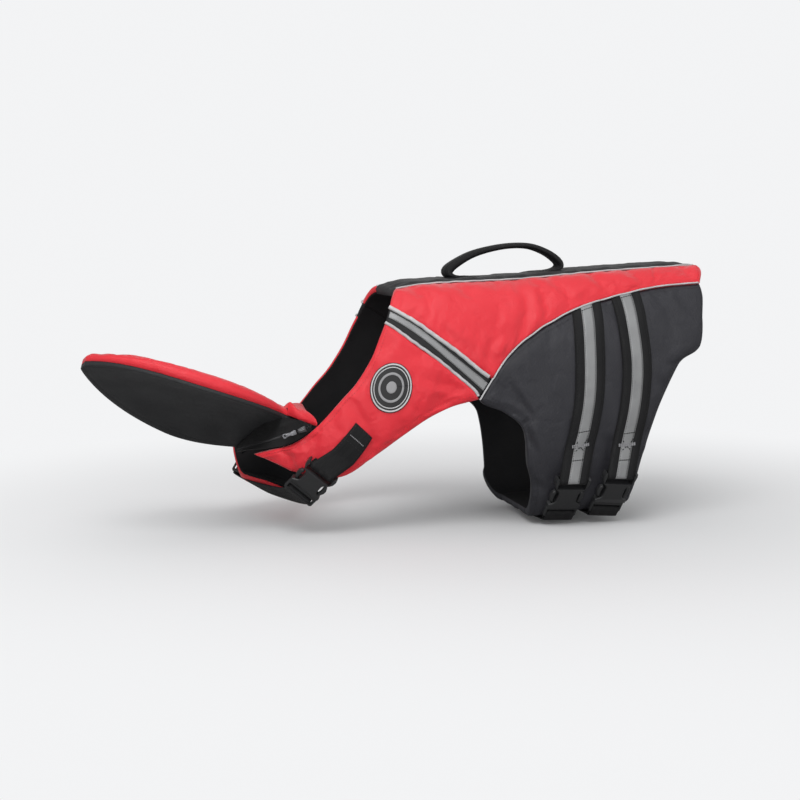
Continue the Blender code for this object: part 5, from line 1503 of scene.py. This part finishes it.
def makeHandle():
    arch = spread(handle["arch"], 26 * fine // 2)
    x, rise, width, thick = arch.T
    middle = np.stack((x, 0 * x, column("top", x) + handle["base"] + rise), -1)
    before, after = np.roll(arch, 1, 0), np.roll(arch, -1, 0)
    before[0], after[-1] = arch[0], arch[-1]
    way = np.stack((after[:, 0] - before[:, 0], 0 * x, after[:, 1] - before[:, 1]), -1)
    way /= np.linalg.norm(way, axis=1, keepdims=True)
    outward = np.stack((-way[:, 2], 0 * x, way[:, 0]), -1)
    share = np.linspace(-1, 1, 6 * fine + 1)[:, None]
    # folded and stuffed in the grip, flat at the feet
    fold = np.clip((thick - handle["flatTo"]) / handle["foldOver"], 0, 1)[None, :]
    section = np.sqrt(np.clip(1 - np.abs(share)**3.2 * 0.93, 0, 1)) * fold + (1 - 0.3 * np.abs(share)**8) * (1 - fold)
    depth, at, wide = handle["seam"]
    groove = depth * bump(np.abs(share) - at, wide) * fold
    half = np.maximum(thick[None] / 2 * section - groove * 0.5, 0.5)
    spine = middle[None] + np.stack((0 * half, share * width[None] / 2, 0 * half), -1)
    inner, outer = (spine + sign * outward[None] * half[..., None] for sign in (-1, 1))
    flat = np.stack(np.broadcast_arrays(lengthsOf(middle)[None], share * 18.0), -1)
    slab("liftingHandle", inner, outer, flat, "blackWebbing", ["lifting_handle"])
    out = np.broadcast_to(outward[None], outer.shape)
    rows = []
    for face, sign in ((outer, 1), (inner, -1)):
        for place in handle["sewnAt"]:
            row = round(place * (outer.shape[0] - 1))
            rows.append((face[row, 2:-2], out[row, 2:-2] * sign))
    last = outer.shape[1] - 4
    for foot in (3, 3 + 2 * fine, last, last - 2 * fine):
        rows.append((outer[2:-2, foot], out[2:-2, foot]))
    stitchRow("handleThread", rows, "blackThread", wide=0.36)


makeHandle()
print("handle is made")

zipLine = {
    "upper": [(-268, -84, -153), (-287, -60, -151.5), (-294.5, -35, -156.7), (-302.5, -12, -164),
              (-311, 10, -174), (-320, 30, -186), (-330, 49, -200)],
    "teeth": [(-257, -91, -158.5), (-272, -90, -164), (-286, -82, -169), (-299, -55, -178),
              (-309, -22, -186.5), (-320, 12, -195), (-330, 45, -203)],
    "lower": [(-258, -92, -163.5), (-273, -90, -174.5), (-288, -80, -182.5), (-303, -56, -188.5),
              (-315, -24, -193.5), (-323, 10, -199.5), (-330, 41, -206)],
    "thick": 1.4, "clear": 1.2, "pitch": 1.55, "tooth": (0.62, 1.25, 0.95), "apart": 0.55,
    "upperCut": (0.020, 0.17), "lowerCut": (0.010, 0.16),
}


def makeZip():
    upper, teeth, lower = (spread(zipLine[key], 14 * fine) for key in ("upper", "teeth", "lower"))
    for part, edge, turn in (("upper", upper, 1), ("lower", lower, -1)):
        way = edge - teeth
        inside = teeth + way / np.linalg.norm(way, axis=1, keepdims=True) * zipLine["clear"]
        line = inside[None] + (edge - inside)[None] * np.linspace(0, 1, 2 * fine + 1)[:, None, None]
        piece = strip("zipTape" + part.capitalize(), line[::turn], zipLine["thick"], "zipTape", ["zip_tape_" + part])
    lengths = lengthsOf(teeth)
    shape = bmesh.new()
    for k in range(int(lengths[-1] / zipLine["pitch"])):
        at = (k + 0.5) * zipLine["pitch"]
        spot, ahead, rim = (Vector(pointAt(place, lengths, line))
                            for place, line in ((at, teeth), (at + 1, teeth), (at, lower)))
        way = (ahead - spot).normalized()
        down = rim - spot
        down = (down - way * down.dot(way)).normalized()
        side = zipLine["apart"] * (1 if k % 2 else -1)
        bead(shape, spot + down * side, (way, down, way.cross(down)), zipLine["tooth"], 8, 5)
    mesh = meshOf(shape, "zipTeeth")
    mesh.shade_smooth()
    dress("zipTeeth", mesh, "zipCoil", ["zip_teeth"])


slider = {  # in mm from its seat on the teeth, x along the zip
    "place": 1, "columns": 14, "clear": 1.6, "tail": 0.72,
    "plates": [(9.6, 7.2, 1.1, 0.9), (9.0, 5.8, 1.0, 3.6)],  # length, width, thickness, height of the middle
    "neck": (2.6, 2.4, 2.6), "neckAt": (-1.6, 0, 2.3), "edge": 0.4,
    "bow": [(-3.6, 4.0), (-3.0, 5.0), (-1.2, 5.5), (1.6, 5.5), (3.2, 4.9), (3.6, 4.0)], "bowRadius": 0.62,
    "pull": [(6.8, 1.9), (7.4, 2.6), (9.6, 2.9), (11.6, 2.2), (15.5, 1.9), (18.8, 2.3), (20.8, 2.9), (22.6, 2.7),
             (23.4, 1.6)],
    "pullLow": 2.8, "pullHigh": 4.0, "pullEdge": 0.25, "hole": (20.6, 1.15),
}


def sliderMatrix():
    teeth, lower = (spread(zipLine[key], slider["columns"]) for key in ("teeth", "lower"))
    at = slider["place"]
    seat, way = Vector(teeth[at]), Vector(teeth[at + 1] - teeth[at - 1]).normalized()
    outward = way.cross(Vector(lower[at]) - seat).normalized()
    return Matrix.Scale(mm, 4) @ axesMatrix(way, outward.cross(way), outward, seat + outward * slider["clear"])


def rounded(shape, edges, offset):
    bmesh.ops.bevel(shape, geom=edges, offset=offset, segments=3, affect="EDGES", profile=0.5, material=-1)


def hardPart(name, shape, place, angle, finish, node, body="jacket"):
    mesh = meshOf(shape, name)
    mesh.transform(place)
    mesh.shade_smooth()
    mesh.set_sharp_from_angle(angle=math.radians(angle))
    dress(name, mesh, finish, [node], body)


def makeSlider():
    place = sliderMatrix()
    shape = bmesh.new()
    for *sizes, height in slider["plates"]:
        made = bmesh.ops.create_cube(shape, size=1.0, matrix=Matrix.Translation((0, 0, height))
                                     @ Matrix.Diagonal((*sizes, 1)))
        for vert in made["verts"]:  # the plates narrow towards the tail end
            vert.co.y *= slider["tail"] if vert.co.x > 0 else 1.0
    bmesh.ops.create_cube(shape, size=1.0, matrix=Matrix.Translation(slider["neckAt"])
                          @ Matrix.Diagonal((*slider["neck"], 1)))
    rounded(shape, shape.edges[:], slider["edge"])
    hardPart("zipSlider", shape, place, 50, "zipMetal", "zip_slider")
    bow = [place @ Vector(point) for point in spread([(x, 0.0, z) for x, z in slider["bow"]], 20)]
    tubePiece("zipBow", np.array(bow) / mm, slider["bowRadius"], "zipSteel")


def makePull():
    # a flat tab with a hole near its end
    shape = bmesh.new()
    half = spread(slider["pull"], 24)
    ring = [(x, y) for x, y in half] + [(x, -y) for x, y in half[::-1]]
    (at, radius), low = slider["hole"], slider["pullLow"]
    turns = [math.atan2(y, x - at) for x, y in ring]
    outer = [shape.verts.new((x, y, low)) for x, y in ring]
    inner = [shape.verts.new((at + radius * math.cos(a), radius * math.sin(a), low)) for a in turns]
    for k in range(len(ring)):
        after = (k + 1) % len(ring)
        shape.faces.new((outer[k], outer[after], inner[after], inner[k]))
    lifted(shape, slider["pullHigh"] - low)
    facingOut(shape)
    rounded(shape, [edge for edge in shape.edges if len(edge.link_faces) == 2 and edge.calc_face_angle() > 1.2],
            slider["pullEdge"])
    hardPart("zipPull", shape, sliderMatrix(), 40, "zipSteel", "zip_pull", "pull_tab")


makeZip()
makeSlider()
makePull()
print("zip is made")

badge = {
    "place": (-166, -81.2), "width": 49.0, "height": 56.0, "around": 96, "steps": 8, "sunk": 0.25,
    "rings": {  # inner and outer radius as shares, low and high over the wing in mm, and finish
        "badge": (0.0, 1.0, 0.0, 1.6, "badgeRubber"), "badgeRim": (0.90, 0.965, 1.3, 2.1, "badgeRing"),
        "badgeInnerRing": (0.79, 0.83, 1.3, 2.0, "badgeRing"), "badgeMiddleRing": (0.50, 0.60, 1.3, 2.0, "badgeGrey"),
        "badgeCentre": (0.0, 0.24, 1.3, 2.1, "badgeGrey")},
}


def badgeHeight():
    # height of the wing under the badge
    u, v = np.meshgrid(np.linspace(-0.9, 0.9, 7), np.linspace(-0.9, 0.9, 7))
    x, angle = badge["place"]
    heights = groundHeights(x + u * badge["width"] / 2, angle + v * badge["height"] / 3.9, treeOf("chestWing_left"))
    return float(np.nanmax(heights))


def makeBadgeRing(name, ground, inner, outer, low, high, finish):
    x, angle = badge["place"]
    here, above = (bodySurface(np.array(x), np.array(angle + step)) for step in (0.0, 1.0))
    perDegreeHere = np.linalg.norm(above - here)  # mm to a degree round the body
    turn, radius = np.meshgrid(np.linspace(0, 2 * math.pi, badge["around"] + 1),
                               np.linspace(inner, outer, badge["steps"] + 1))
    edge = np.minimum(radius - inner if inner > 0.02 else 1.0, outer - radius) / (outer - inner)
    crown = low + (high - low) * np.clip(0.55 + 3.0 * edge, 0, 1)
    under, top = (bodyPoint(x + radius * np.cos(turn) * badge["width"] / 2,
                            angle + radius * np.sin(turn) * badge["height"] / 2 / perDegreeHere, ground + lift)
                  for lift in (low - badge["sunk"] + 0 * crown, crown))
    shape = bmesh.new()
    bmesh.ops.create_grid(shape, x_segments=badge["around"], y_segments=badge["steps"], size=0.5)
    lifted(shape, 1)
    for vert in shape.verts:
        i, j = round((vert.co.x + 0.5) * badge["around"]), round((vert.co.y + 0.5) * badge["steps"])
        vert.co = Vector((top if vert.co.z > 0.5 else under)[j, i]) * mm
    bmesh.ops.remove_doubles(shape, verts=shape.verts, dist=1e-6)
    inside = [face for face in shape.faces if face.calc_area() < 1e-14]
    bmesh.ops.delete(shape, geom=inside, context="FACES_ONLY")
    facingOut(shape)
    mesh = meshOf(shape, name)
    mesh.shade_smooth()
    dress(name, mesh, finish, ["badge"] if name == "badge" else ())


badgeGround = badgeHeight()
for name, ring in badge["rings"].items():
    makeBadgeRing(name, badgeGround, *ring)
print("badge is made")
